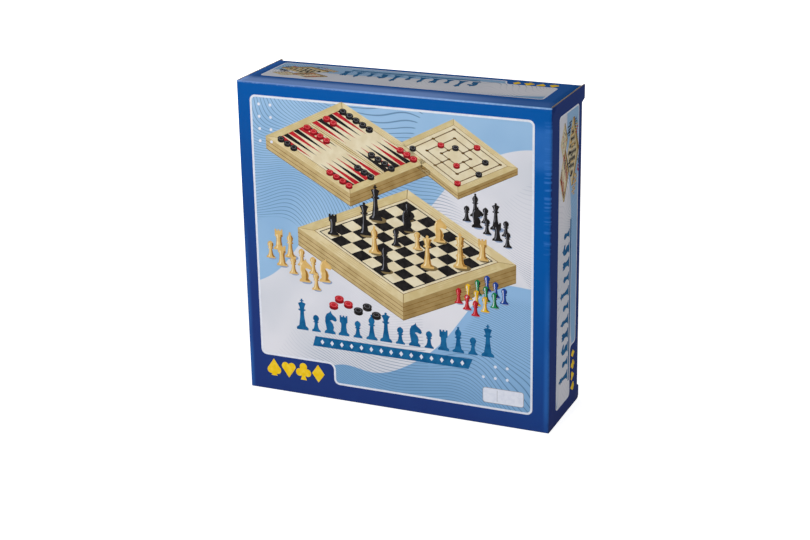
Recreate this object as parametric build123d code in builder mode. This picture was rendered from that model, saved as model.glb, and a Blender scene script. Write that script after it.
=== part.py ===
from build123d import *
from math import sqrt
import os

# Games compendium: a folding carton in two telescoping halves, and inside it a wooden
# games case with its boards and men. The carton stands on its bottom wall, +Z up, with the
# printed front panel towards -Y. Millimetres.

# Carton, folded from single-ply board
carton_width = 300.0
carton_height = 300.0
board = 1.2             # thickness of one ply
fold_radius = 2.4       # outside radius where the board folds
ply_gap = 0.4           # air between the plies of a rolled wall
roll_radius = 1.4       # rounding of a rolled rim
ear_length = 14.5       # uncreased stub at each end of a rolled rim, along the rim
top_ear_reach = 6.4     # how far the stub stands past the rim
bottom_ear_reach = 3.2
ear_taper = 2.0         # slope of the stub's inner end
ear_root = 3.0          # how far the stub runs back into its wall
top_ear_round = 1.0     # rounding of the stub's free corner
bottom_ear_round = 4.0  # blunted more, as the carton stands on it
telescope_gap = 0.5     # tray to cover, all round
back_recess = 0.6       # tray's back panel, in from the cover's rim
front_gap = 0.8         # tray's rim to the cover's panel
top_slack = 1.8         # lid to the cover's panel

# Wooden case
case_fit = 3.2          # case to carton tray, each side
rest_gap = 0.2          # between pieces stacked on each other
lift_fit = 0.7          # lift-out boards inside the case walls, each side
case_wall = 9.0
case_floor = 3.0
floor_rebate = 4.0
groove_width = 2.2
groove_depth = 1.3
foot_side = 26.0
foot_height = 7.0
foot_inset = 3.0
foot_round = 1.5
divider = 5.0
compartment_depth = 30.0
dice_bay = 42.0         # height of the bay for the dice
stone_bay = 100.0       # height of the bay for the stones

# Lift-out backgammon tray
tray_rail_width = 10.0
tray_height = 17.0
tray_panel = 3.0
tray_panel_lift = 1.5   # panel's underside above the rail's
bar_width = 14.0
bar_height = 8.0
bar_round = 1.2
notch_radius = 14.0
notch_depth = 8.0
panel_groove = 4.0      # how deep each panel is let into its rails
panel_slack = 0.2       # panel edge to the bottom of its groove

# Ludo board
ludo_rim = 8.0
ludo_height = 6.0
ludo_panel = 3.0
ludo_panel_lift = 1.5
ludo_seat = 3.6         # how much of the board sits inside the case walls

# Chess lid
lid_rail_width = 20.0
lid_height = 19.0
lid_flange = 10.0       # height of the rail over the hollow underside
lid_panel = 3.0
lid_panel_recess = 4.0

# Chessmen: length and base radius
king_size = (62.0, 10.0)
queen_size = (56.0, 10.0)
bishop_size = (48.0, 9.0)
knight_size = (44.0, 9.0)
rook_size = (38.0, 9.0)
pawn_size = (34.0, 8.0)
base_step = 3.2         # height of the rim of a base
base_round = 0.6
base_slope = 1.0        # height of the shoulder over that rim
shoulder_share = 0.8    # of the base radius
collar = 1.4            # thickness
collar_share = 0.72     # of the base radius
flare = 1.3             # shaft at half height, as a share of the neck
row_end = 1.6           # spare length of a chessmen's bay beyond its longest row
men_gap = 0.4           # between neighbouring men
bed_gap = 0.3           # men to the case floor

# Their heads: lengths back from the tip, and shares of the base radius
pawn_ball_share = 0.62
pawn_neck_share = 0.4
rook_head = 12.0
rook_crown = 8.5
rook_wall = 2.0
rook_well = 2.4         # depth inside the crown
rook_slot = 2.2
rook_crown_share = 0.74
rook_neck_share = 0.52
bishop_head = 17.0
bishop_knob = 1.7
bishop_swell = 4.5      # widest place of the hood, on from the collar
bishop_hood_share = 0.56
bishop_neck_share = 0.34
bishop_cut_back = 7.5   # middle of the slanted cut: back from the tip, and out
bishop_cut_out = 4.6
bishop_cut_angle = 58.0
bishop_cut_length = 6.5
bishop_cut_width = 1.2
knob_neck = 1.2         # radius under a knob or cross
rim_slope = 1.0         # bevel at the rim of a crown
rim_round = 0.8
queen_head = 17.0
queen_knob = 2.0
queen_rim = 6.0
queen_rim_share = 0.62
queen_neck_share = 0.32
king_head = 21.0
king_rim_share = 0.64
king_neck_share = 0.34
cross_height = 7.0
cross_rise = 3.0        # crown's rim to the foot of the cross
cross_root = 1.0        # how far the cross is let into the crown
cross_arm = 2.2
cross_width = 6.0
cross_drop = 3.2        # middle of the arms
knight_base = 16.0      # height of the turned foot
knight_thickness = 7.2
knight_neck_share = 0.56

# Knight's head from the side: share of the way from its foot to its ears, and share of the base
# radius across
horse_back = ((-0.036, -0.58), (0.43, -0.76), (0.79, -0.49), (1.0, -0.18))
horse_brow = ((0.89, 0.07), (0.84, 0.24))
horse_nose = ((0.68, 0.62), (0.46, 0.84))
horse_mouth = ((0.375, 0.64), (0.45, 0.22))
horse_chest = ((0.25, 0.27), (-0.036, 0.56))

# Stones, pawns and dice
stone_radius = 11.0
stone_thickness = 6.0
stone_dish = 0.6
stone_round = 1.2
dish_share = 0.62       # of the stone's radius
rim_share = 0.7
stone_count = 15
ludo_pawn_length = 25.0
ludo_pawn_radius = 6.5
ludo_head_radius = 4.6
ludo_neck_radius = 2.6
ludo_base_step = 1.6
ludo_pawn_count = 4
die_side = 10.0
die_count = 5
die_round = 1.2
pip_radius = 0.9
pip_depth = 0.35
pip_pitch = 2.6

# Derived sizes
rolled_wall = 3 * board + ply_gap
case_width = carton_width - 2 * (rolled_wall + telescope_gap + board + case_fit)
case_height = carton_height - 2 * (rolled_wall + telescope_gap + board + case_fit)
room_width = case_width - 2 * case_wall
room_height = case_height - 2 * case_wall
lift_width = room_width - 2 * lift_fit
lift_height = room_height - 2 * lift_fit

floor_level = foot_height + case_floor
tray_level = floor_level + compartment_depth + rest_gap
ludo_level = tray_level + tray_height + rest_gap
wall_top = ludo_level + ludo_seat
lid_level = wall_top + rest_gap
lid_top = lid_level + lid_height
carton_depth = back_recess + 2 * board + lid_top + top_slack

front_y = -(carton_depth + max(top_ear_reach, bottom_ear_reach)) / 2
back_y = front_y + carton_depth - back_recess
bed_y = back_y - board
mid = carton_height / 2

os.makedirs("parts", exist_ok=True)


def save(part, name):
    part.label = name
    export_step(part, f"parts/{name}.step")
    print(name, len(part.solids()), round(part.volume))


# Plane across the pack, a height above the carton tray's floor: x is +X, y is +Z, and the
# normal points out towards the cover.
def level(height):
    return Plane(origin=(0, bed_y - height, mid), x_dir=(1, 0, 0), z_dir=(0, -1, 0))


# One folded half of the carton. Its panel lies at y = 0 and it opens towards +Y. The walls at
# each end of x are rolled double over the flaps; the walls at each end of z are single.
def folded_half(width, height, depth, ears):
    with BuildPart() as half:
        Box(width, depth, height, align=(Align.CENTER, Align.MIN, Align.CENTER))
        fillet(half.faces().sort_by(Axis.Y)[0].edges(), fold_radius)
        with Locations((0, board, 0)):
            Box(
                width - 2 * rolled_wall, depth, height - 2 * board,
                align=(Align.CENTER, Align.MIN, Align.CENTER), mode=Mode.SUBTRACT,
            )
        fillet(half.faces().filter_by(Axis.Y).sort_by(Axis.Y)[1].edges(), fold_radius - board)
        fillet(half.faces().sort_by(Axis.Y)[-1].edges().filter_by(Axis.Z), roll_radius)
        slot_x = width / 2 - board - ply_gap / 2
        with Locations((-slot_x, fold_radius, 0), (slot_x, fold_radius, 0)):
            Box(
                ply_gap, depth - fold_radius - ear_root, height,
                align=(Align.CENTER, Align.MIN, Align.CENTER), mode=Mode.SUBTRACT,
            )
        for end, reach, rounding in ears:
            tip = end * height / 2
            root = tip - end * ear_length
            with Locations((-slot_x, depth - ear_root, tip), (slot_x, depth - ear_root, tip)):
                Box(
                    ply_gap, 2 * ear_root, 2 * ear_length,
                    align=(Align.CENTER, Align.MIN, Align.CENTER), mode=Mode.SUBTRACT,
                )
            for side in (-1, 1):
                with BuildSketch(Plane.YZ.offset(side * (width - board) / 2)):
                    with BuildLine():
                        outline = Polyline(
                            (depth + reach - rounding, tip), (depth - ear_root, tip), (depth - ear_root, root),
                            (depth, root), (depth + reach, root + end * ear_taper),
                            (depth + reach, tip - end * rounding),
                        )
                        TangentArc(outline @ 1, outline @ 0, tangent=outline % 1)
                    make_face()
                extrude(amount=board / 2, both=True)
    return half.part


# A mitred frame lying on a level: four rails with a square section, then cut to shape by rings
# taken out of it. Each ring is (inset of its outside, of its inside, from height, to height).
def mitred_frame(width, height, base, rail, rail_height, rings):
    with BuildPart() as frame:
        with BuildSketch(level(base)):
            Rectangle(width, height)
            Rectangle(width - 2 * rail, height - 2 * rail, mode=Mode.SUBTRACT)
        extrude(amount=rail_height)
        for outer, inner, low, high in rings:
            with BuildSketch(level(base + low)):
                Rectangle(width - 2 * outer, height - 2 * outer)
                if inner < rail:
                    Rectangle(width - 2 * inner, height - 2 * inner, mode=Mode.SUBTRACT)
            extrude(amount=high - low, mode=Mode.SUBTRACT)
    return frame.part


# Corners of the trapezium that one mitred rail fills, for the side at a quarter turn.
def mitre_corners(width, height, rail, side):
    out_x = width / 2
    out_z = height / 2
    in_x = out_x - rail
    in_z = out_z - rail
    corners = {
        "right": [(out_x, -out_z), (out_x, out_z), (in_x, in_z), (in_x, -in_z)],
        "top": [(out_x, out_z), (-out_x, out_z), (-in_x, in_z), (in_x, in_z)],
        "left": [(-out_x, out_z), (-out_x, -out_z), (-in_x, -in_z), (-in_x, in_z)],
        "bottom": [(-out_x, -out_z), (out_x, -out_z), (in_x, -in_z), (-in_x, -in_z)],
    }
    return corners[side]


# The four rails of a frame, each a node of its own.
def save_rails(prefix, frame, width, height, rail):
    for side in ("left", "right", "top", "bottom"):
        with BuildPart() as piece:
            add(frame)
            with BuildSketch(level(0)):
                with BuildLine():
                    Polyline(*mitre_corners(width, height, rail, side), close=True)
                make_face()
            extrude(amount=lid_top + foot_height, mode=Mode.INTERSECT)
        save(piece.part, f"{prefix}_{side}")


# Carton cover and carton tray
with BuildPart() as carton_cover:
    with Locations((0, front_y, mid)):
        add(folded_half(
            carton_width, carton_height, carton_depth,
            ((1, top_ear_reach, top_ear_round), (-1, bottom_ear_reach, bottom_ear_round)),
        ))
save(carton_cover.part, "carton_cover")

tray_frame = Plane(origin=(0, back_y, mid), x_dir=(0, 0, 1), z_dir=(1, 0, 0))
with BuildPart() as carton_tray:
    with Locations(tray_frame.location):
        add(folded_half(
            carton_height - 2 * (board + telescope_gap),
            carton_width - 2 * (rolled_wall + telescope_gap),
            carton_depth - back_recess - board - front_gap,
            (),
        ))
save(carton_tray.part, "carton_tray")

# Case: four grooved walls mitred at the corners, with the floor let into a rebate
wall_height = wall_top - foot_height
wall_rings = [(case_wall - floor_rebate, case_wall, 0, case_floor)]
with BuildPart() as case_frame:
    add(mitred_frame(case_width, case_height, foot_height, case_wall, wall_height, wall_rings))
    for share in (1, 2):
        with BuildSketch(level(foot_height + share * wall_height / 3 - groove_width / 2)):
            Rectangle(case_width + groove_width, case_height + groove_width)
            Rectangle(case_width - 2 * groove_depth, case_height - 2 * groove_depth, mode=Mode.SUBTRACT)
        extrude(amount=groove_width, mode=Mode.SUBTRACT)
save_rails("case_wall", case_frame.part, case_width, case_height, case_wall)

with BuildPart() as case_floor_panel:
    with BuildSketch(level(foot_height)):
        edge = 2 * (floor_rebate - panel_slack)
        Rectangle(room_width + edge, room_height + edge)
    extrude(amount=case_floor)
save(case_floor_panel.part, "case_floor")

with BuildPart() as case_feet:
    with BuildSketch(level(0)):
        reach = 2 * foot_inset + foot_side
        with GridLocations(case_width - reach, case_height - reach, 2, 2):
            Rectangle(foot_side, foot_side)
    extrude(amount=foot_height)
    fillet(case_feet.faces().filter_by(Axis.Y).sort_by(Axis.Y)[-4:].edges(), foot_round)
save(case_feet.part, "case_feet")

# Compartments: two tall bays for the chessmen, then three bays above one another
men_bay = max(king_size[0], 2 * pawn_size[0] + men_gap) + row_end
left_bay_x = -room_width / 2
middle_bay_x = left_bay_x + men_bay + divider
right_bay_x = middle_bay_x + men_bay + divider
right_bay = room_width / 2 - right_bay_x
floor_z = mid - room_height / 2
pawn_bay_z = floor_z + dice_bay + divider
stone_bay_z = floor_z + room_height - stone_bay

for name, start in (("case_divider_left", middle_bay_x), ("case_divider_right", right_bay_x)):
    with BuildPart() as long_divider:
        with BuildSketch(level(floor_level)):
            with Locations((start - divider / 2, 0)):
                Rectangle(divider, room_height)
        extrude(amount=compartment_depth)
    save(long_divider.part, name)

for name, start in (("case_crosspiece_low", pawn_bay_z), ("case_crosspiece_high", stone_bay_z)):
    with BuildPart() as crosspiece:
        with BuildSketch(level(floor_level)):
            with Locations((right_bay_x + right_bay / 2, start - divider / 2 - mid)):
                Rectangle(right_bay, divider)
        extrude(amount=compartment_depth)
    save(crosspiece.part, name)

# Backgammon tray
tray_rings = [(
    tray_rail_width - panel_groove, tray_rail_width, tray_panel_lift, tray_panel_lift + tray_panel,
)]
with BuildPart() as tray_frame_ring:
    add(mitred_frame(lift_width, lift_height, tray_level, tray_rail_width, tray_height, tray_rings))
    with BuildSketch(Plane.YZ):
        with Locations((bed_y - tray_level - tray_height - notch_radius + notch_depth, mid)):
            Circle(notch_radius)
    extrude(amount=lift_width, both=True, mode=Mode.SUBTRACT)
save_rails("backgammon_rail", tray_frame_ring.part, lift_width, lift_height, tray_rail_width)


def let_in_panel(rail, base, thickness, name):
    edge = 2 * (panel_groove - panel_slack - rail)
    with BuildPart() as panel:
        with BuildSketch(level(base)):
            Rectangle(lift_width + edge, lift_height + edge)
        extrude(amount=thickness)
    save(panel.part, name)


let_in_panel(tray_rail_width, tray_level + tray_panel_lift, tray_panel, "backgammon_panel")

with BuildPart() as backgammon_bar:
    with BuildSketch(level(tray_level + tray_panel_lift + tray_panel)):
        Rectangle(bar_width, lift_height - 2 * tray_rail_width)
    extrude(amount=bar_height)
    fillet(backgammon_bar.faces().sort_by(Axis.Y)[0].edges().filter_by(Axis.Z), bar_round)
save(backgammon_bar.part, "backgammon_bar")

# Ludo board
ludo_rings = [(
    ludo_rim - panel_groove, ludo_rim, ludo_panel_lift, ludo_panel_lift + ludo_panel,
)]
ludo_frame = mitred_frame(lift_width, lift_height, ludo_level, ludo_rim, ludo_height, ludo_rings)
save_rails("ludo_rim", ludo_frame, lift_width, lift_height, ludo_rim)
let_in_panel(ludo_rim, ludo_level + ludo_panel_lift, ludo_panel, "ludo_panel")

# Chess lid, hollow underneath so that it drops over the ludo board
lid_panel_low = lid_height - lid_panel_recess - lid_panel
lid_rings = [
    (case_wall, lid_rail_width, 0, lid_height - lid_flange),
    (lid_rail_width - panel_groove, lid_rail_width, lid_panel_low, lid_panel_low + lid_panel),
]
lid_frame = mitred_frame(case_width, case_height, lid_level, lid_rail_width, lid_height, lid_rings)
save_rails("chess_lid_rail", lid_frame, case_width, case_height, lid_rail_width)

with BuildPart() as chess_panel:
    with BuildSketch(level(lid_level + lid_panel_low)):
        edge = 2 * (panel_groove - panel_slack - lid_rail_width)
        Rectangle(case_width + edge, case_height + edge)
    extrude(amount=lid_panel)
save(chess_panel.part, "chess_panel")


# A turned chessman lying along +X from its base at x = 0. The outline of its head runs from the
# collar's end to the tip on the axis.
def turned_man(size, neck_end, neck_radius, head_outline):
    length, radius = size
    collar_end = neck_end + collar
    collar_radius = radius * collar_share
    middle = (base_step + neck_end) / 2
    with BuildPart() as man:
        with BuildSketch(Plane.XY):
            with BuildLine():
                foot = Polyline(
                    (0, 0), (0, radius - base_round), (base_round, radius), (base_step, radius),
                    (base_step + base_slope, radius * shoulder_share),
                )
                shaft = Spline(foot @ 1, (middle, neck_radius * flare), (neck_end, neck_radius))
                ring = Polyline(
                    shaft @ 1, (neck_end, collar_radius), (collar_end, collar_radius),
                    (collar_end, neck_radius),
                )
                tip = head_outline(ring @ 1)
                Line(tip, (0, 0))
            make_face()
        revolve(axis=Axis.X)
    return man.part


# A ball that ends at the tip, from a start on its surface
def ball_outline(start, end, ball):
    middle = end - ball
    ThreePointArc(start, (middle, ball), (end, 0))
    return (end, 0)


def ball_start(end, ball, neck_radius):
    return end - ball - sqrt(ball * ball - neck_radius * neck_radius)


def make_pawn():
    length, radius = pawn_size
    ball = radius * pawn_ball_share
    neck = radius * pawn_neck_share
    neck_end = ball_start(length, ball, neck) - collar
    return turned_man(pawn_size, neck_end, neck, lambda start: ball_outline(start, length, ball))


def make_rook():
    length, radius = rook_size
    crown = radius * rook_crown_share

    def head(start):
        Polyline(
            start, (length - rook_crown, crown), (length, crown), (length, crown - rook_wall),
            (length - rook_well, crown - rook_wall), (length - rook_well, 0),
        )
        return (length - rook_well, 0)

    with BuildPart() as rook:
        add(turned_man(rook_size, length - rook_head, radius * rook_neck_share, head))
        for turn in (0, 90):
            with Locations(Location((length, 0, 0), (turn, 0, 0))):
                Box(2 * rook_well, rook_slot, 2 * radius, mode=Mode.SUBTRACT)
    return rook.part


def make_bishop():
    length, radius = bishop_size
    hood_end = ball_start(length, bishop_knob, knob_neck)

    def head(start):
        swell = (start.X + bishop_swell, radius * bishop_hood_share)
        hood = Spline(start, swell, (hood_end, knob_neck))
        return ball_outline(hood @ 1, length, bishop_knob)

    with BuildPart() as bishop:
        add(turned_man(bishop_size, length - bishop_head, radius * bishop_neck_share, head))
        with Locations(Location((length - bishop_cut_back, bishop_cut_out, 0), (0, 0, bishop_cut_angle))):
            Box(bishop_cut_length, bishop_cut_width, 2 * radius, mode=Mode.SUBTRACT)
    return bishop.part


def crown_outline(start, rim_x, rim_radius, knob_start):
    Spline(start, ((start.X + rim_x) / 2, start.Y * flare), (rim_x, rim_radius))
    Polyline(
        (rim_x, rim_radius), (rim_x + rim_slope, rim_radius - rim_round), (knob_start, knob_neck),
    )


def make_queen():
    length, radius = queen_size
    knob_x = ball_start(length, queen_knob, knob_neck)

    def head(start):
        crown_outline(start, length - queen_rim, radius * queen_rim_share, knob_x)
        return ball_outline((knob_x, knob_neck), length, queen_knob)

    return turned_man(queen_size, length - queen_head, radius * queen_neck_share, head)


def make_king():
    length, radius = king_size

    def head(start):
        cross_x = length - cross_height
        crown_outline(start, cross_x - cross_rise, radius * king_rim_share, cross_x)
        Line((cross_x, knob_neck), (cross_x, 0))
        return (cross_x, 0)

    with BuildPart() as king:
        add(turned_man(king_size, length - king_head, radius * king_neck_share, head))
        with BuildSketch(Plane.XY):
            with Locations((length - (cross_height + cross_root) / 2, 0)):
                Rectangle(cross_height + cross_root, cross_arm)
            with Locations((length - cross_drop, 0)):
                Rectangle(cross_arm, cross_width)
        extrude(amount=cross_arm / 2, both=True)
    return king.part


def make_knight():
    length, radius = knight_size

    def head(start):
        Line(start, (start.X, 0))
        return (start.X, 0)

    def outline(points):
        head_length = length - knight_base
        return [(knight_base + share * head_length, across * radius) for share, across in points]

    with BuildPart() as knight:
        add(turned_man(knight_size, knight_base - collar, radius * knight_neck_share, head))
        with BuildSketch(Plane.XY):
            with BuildLine():
                back = Spline(*outline(horse_back))
                brow = Polyline(back @ 1, *outline(horse_brow))
                nose = Spline(brow @ 1, *outline(horse_nose))
                mouth = Polyline(nose @ 1, *outline(horse_mouth))
                chest = Spline(mouth @ 1, *outline(horse_chest))
                Line(chest @ 1, back @ 0)
            make_face()
        extrude(amount=knight_thickness / 2, both=True)
    return knight.part


makers = (
    ("king", make_king(), king_size, 1),
    ("queen", make_queen(), queen_size, 1),
    ("bishops", make_bishop(), bishop_size, 2),
    ("knights", make_knight(), knight_size, 2),
    ("rooks", make_rook(), rook_size, 2),
    ("pawns", make_pawn(), pawn_size, 8),
)


# Lay copies of a man across a bay, as many to a row as fit, in rows that rest on each other.
# Men that share a row alternate end for end. Returns the height where the next row starts.
def lay_rows(man, length, radius, count, bay_x, bay, start_z, name):
    per_row = max(1, int((bay - men_gap) // (length + men_gap)))
    pitch = 2 * radius + men_gap
    axis_y = bed_y - floor_level - bed_gap - radius
    with BuildPart() as group:
        for index in range(count):
            row, place = divmod(index, per_row)
            low_x = bay_x + men_gap + place * (length + men_gap)
            turned = place % 2 == 1
            foot_x = low_x + length if turned else low_x
            man_z = start_z + radius + men_gap + row * pitch
            with Locations(Location((foot_x, axis_y, man_z), (0, 0, 180 if turned else 0))):
                add(man)
    save(group.part, name)
    rows = -(-count // per_row)
    return start_z + rows * pitch


for colour, bay_x in (("natural", left_bay_x), ("black", middle_bay_x)):
    pile = floor_z
    for name, man, size, count in makers:
        pile = lay_rows(man, *size, count, bay_x, men_bay, pile, f"{colour}_{name}")

# Stones: dished discs on edge, rolled up in rows
with BuildPart() as stone:
    dish = stone_radius * dish_share
    rim = stone_radius * rim_share
    far = stone_thickness
    with BuildSketch(Plane.XY):
        with BuildLine():
            Polyline(
                (stone_dish, 0), (stone_dish, dish), (0, rim), (0, stone_radius - stone_round),
                (stone_round, stone_radius), (far - stone_round, stone_radius),
                (far, stone_radius - stone_round), (far, rim), (far - stone_dish, dish),
                (far - stone_dish, 0), close=True,
            )
        make_face()
    revolve(axis=Axis.X)

pile = stone_bay_z
for colour in ("red", "black"):
    pile = lay_rows(
        stone.part, stone_thickness, stone_radius, stone_count, right_bay_x, right_bay, pile,
        f"{colour}_stones",
    )

# Ludo pawns
with BuildPart() as ludo_pawn:
    neck_x = ball_start(ludo_pawn_length, ludo_head_radius, ludo_neck_radius)
    with BuildSketch(Plane.XY):
        with BuildLine():
            cone = Polyline(
                (0, 0), (0, ludo_pawn_radius), (ludo_base_step, ludo_pawn_radius),
                (neck_x, ludo_neck_radius),
            )
            ball_outline(cone @ 1, ludo_pawn_length, ludo_head_radius)
            Line((ludo_pawn_length, 0), (0, 0))
        make_face()
    revolve(axis=Axis.X)

pile = pawn_bay_z
for colour in ("red", "yellow", "green", "blue"):
    pile = lay_rows(
        ludo_pawn.part, ludo_pawn_length, ludo_pawn_radius, ludo_pawn_count, right_bay_x, right_bay,
        pile, f"{colour}_ludo_pawns",
    )

# Dice: opposite faces add up to seven
corner = pip_pitch
face_pips = {
    1: [(0, 0)],
    2: [(-corner, -corner), (corner, corner)],
    3: [(-corner, -corner), (0, 0), (corner, corner)],
    4: [(-corner, -corner), (-corner, corner), (corner, -corner), (corner, corner)],
    5: [(-corner, -corner), (-corner, corner), (corner, -corner), (corner, corner), (0, 0)],
    6: [(x, y) for x in (-corner, corner) for y in (-corner, 0, corner)],
}
die_faces = (
    (1, Plane.XY), (6, Plane.XY.rotated((180, 0, 0))),
    (2, Plane.XZ), (5, Plane.XZ.rotated((180, 0, 0))),
    (3, Plane.YZ), (4, Plane.YZ.rotated((0, 180, 0))),
)
with BuildPart() as die:
    Box(die_side, die_side, die_side)
    fillet(die.edges(), die_round)
    for pips, face_plane in die_faces:
        with BuildSketch(face_plane.offset(die_side / 2)):
            with Locations(*face_pips[pips]):
                Circle(pip_radius)
        extrude(amount=-pip_depth, mode=Mode.SUBTRACT)

with BuildPart() as dice:
    half_die = die_side / 2
    die_y = bed_y - floor_level - bed_gap - half_die
    for index in range(die_count):
        die_x = right_bay_x + men_gap + half_die + index * (die_side + men_gap)
        with Locations(Location((die_x, die_y, floor_z + men_gap + half_die), (0, 90 * index, 0))):
            add(die.part)
save(dice.part, "dice")

print("carton", carton_width, round(carton_depth, 2), carton_height, "case", case_width, case_height)
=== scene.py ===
import math

import bmesh
import bpy
from mathutils import Matrix, Vector, noise


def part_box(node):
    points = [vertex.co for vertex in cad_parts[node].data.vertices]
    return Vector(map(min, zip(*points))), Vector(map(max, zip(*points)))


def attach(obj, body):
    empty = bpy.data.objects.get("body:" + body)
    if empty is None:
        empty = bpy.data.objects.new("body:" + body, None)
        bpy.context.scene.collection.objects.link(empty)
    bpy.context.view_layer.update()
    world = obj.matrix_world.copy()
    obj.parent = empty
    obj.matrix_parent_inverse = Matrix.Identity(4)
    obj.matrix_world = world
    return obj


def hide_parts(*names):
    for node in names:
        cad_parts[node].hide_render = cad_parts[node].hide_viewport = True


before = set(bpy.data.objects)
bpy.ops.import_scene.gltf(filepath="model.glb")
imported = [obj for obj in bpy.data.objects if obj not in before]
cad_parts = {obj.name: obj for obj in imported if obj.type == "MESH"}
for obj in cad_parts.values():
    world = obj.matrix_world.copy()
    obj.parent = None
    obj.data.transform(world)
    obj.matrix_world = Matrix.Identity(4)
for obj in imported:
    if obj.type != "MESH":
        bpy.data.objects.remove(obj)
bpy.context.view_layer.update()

mm = 0.001


def feed(tree, socket, value):
    # value: a link, a number, a vector, or the hex code of a colour
    if isinstance(value, Wire):
        tree.links.new(value.socket, socket)
    else:
        socket.default_value = ink(value) if isinstance(value, str) else value


def addNode(tree, kind, settings=None, inputs=None, output=0):
    node = tree.nodes.new(kind)
    for name, value in (settings or {}).items():
        setattr(node, name, value)
    for name, value in (inputs or {}).items():
        feed(tree, node.inputs[name], value)
    return Wire(tree, node.outputs[output])


class Wire:
    # a socket that takes part in Python expressions
    def __init__(self, tree, socket):
        self.tree = tree
        self.socket = socket

    def maths(self, operation, *values):
        return addNode(self.tree, "ShaderNodeMath", {"operation": operation}, dict(enumerate(values)))

    def ramp(self, low, high):
        # 0 below low, 1 above high, smooth between
        return addNode(self.tree, "ShaderNodeMapRange", {"interpolation_type": "SMOOTHSTEP"},
                       {"Value": self, "From Min": low, "From Max": high})


def mathsMethod(operation, swapped):
    def method(wire, *others):
        return wire.maths(operation, *others, wire) if swapped else wire.maths(operation, wire, *others)
    return method


for methodName, operation in {
    "__add__": "ADD", "__sub__": "SUBTRACT", "__mul__": "MULTIPLY", "__truediv__": "DIVIDE",
    "__pow__": "POWER", "__gt__": "GREATER_THAN", "__lt__": "LESS_THAN", "__abs__": "ABSOLUTE",
    "__radd__": "ADD", "__rsub__": "SUBTRACT", "__rmul__": "MULTIPLY",
    "sine": "SINE", "fraction": "FRACT", "floor": "FLOOR", "most": "MAXIMUM", "least": "MINIMUM",
}.items():
    setattr(Wire, methodName, mathsMethod(operation, methodName.startswith("__r")))


def ink(code):
    # linear colour of a hex code
    levels = [int(code[start:start + 2], 16) / 255 for start in (0, 2, 4)]
    return tuple(v / 12.92 if v <= 0.04045 else ((v + 0.055) / 1.055) ** 2.4 for v in levels) + (1.0,)


class Finish:
    # a material with the methods that lay out its nodes
    def __init__(self, name, **sockets):
        self.material = bpy.data.materials.new(name)
        self.material.use_nodes = True
        self.tree = self.material.node_tree
        self.shader = self.tree.nodes["Principled BSDF"]
        self.set(**sockets)

    def set(self, **sockets):
        for name, value in sockets.items():
            feed(self.tree, self.shader.inputs[name.replace("_", " ")], value)

    def node(self, kind, settings=None, inputs=None, output=0):
        return addNode(self.tree, "ShaderNode" + kind, settings, inputs, output)

    def place(self):
        return self.node("TexCoord", output="Object")

    def axes(self):
        parts = self.node("SeparateXYZ", None, {0: self.place()}).socket.node
        return [Wire(self.tree, output) for output in parts.outputs]

    def turned(self, scale=(1, 1, 1), shift=(0, 0, 0)):
        return self.node("Mapping", None, {"Vector": self.place(), "Scale": scale, "Location": shift})

    def noise(self, scale, detail, place=None, distortion=0.0):
        return self.node("TexNoise", None, {
            "Vector": place or self.place(), "Scale": scale, "Detail": detail, "Distortion": distortion,
        })

    def mix(self, factor, first, second):
        # inputs and outputs 6, 7 and 2 are the colour ones
        return self.node("Mix", {"data_type": "RGBA"}, {0: factor, 6: first, 7: second}, 2)

    def bump(self, height, distance):
        self.set(Normal=self.node("Bump", None, {"Height": height, "Distance": distance}))


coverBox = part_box("carton_cover")
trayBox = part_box("carton_tray")
carton = {
    "board": 1.2 * mm,
    "fold": 2.4 * mm,
    "roll": 2 * mm,          # how far print runs into a rolled rim
    "rolledWall": 4.5 * mm,  # a little over the thickness of a side wall's rolled plies
    "depth": 85 * mm,
    "inset": 0.5 * mm,       # the skin stays this far inside the carton's own box
    "bow": 0.18 * mm,        # how far the walls bulge
    "ripple": 0.05 * mm,
    "rippleScale": 17,
    "rippleSeed": 1,         # 0 would take the clock, and give another ripple on each run
    "inkLift": 0.02 * mm,    # print over the board
    "lift": 0.007 * mm,      # one layer of print over the next
    "plate": 0.01 * mm,      # thickness of a plate of print
    "cell": 8 * mm,          # grid that the panels are cut to, so that they can bulge
    "hair": 0.02 * mm,       # closer than this counts as touching
}
width = coverBox[1].x - coverBox[0].x
height = coverBox[1].z - coverBox[0].z
frontY = coverBox[0].y
rimY = frontY + carton["depth"]
backY = trayBox[1].y

gloss = {"Roughness": 0.3, "Coat_Weight": 0.05, "Coat_Roughness": 0.12, "Specular_IOR_Level": 0.0}
laminate = {"peel": 0.012, "peelScale": 900, "waveScale": 26, "depth": 0.6 * mm}


def laminateBump(finish, wave=0.5):
    # dust and orange peel under a gloss laminate
    peel = finish.noise(laminate["peelScale"], 2) * laminate["peel"]
    finish.bump(peel + finish.noise(laminate["waveScale"], 2) * wave, laminate["depth"])


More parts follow.
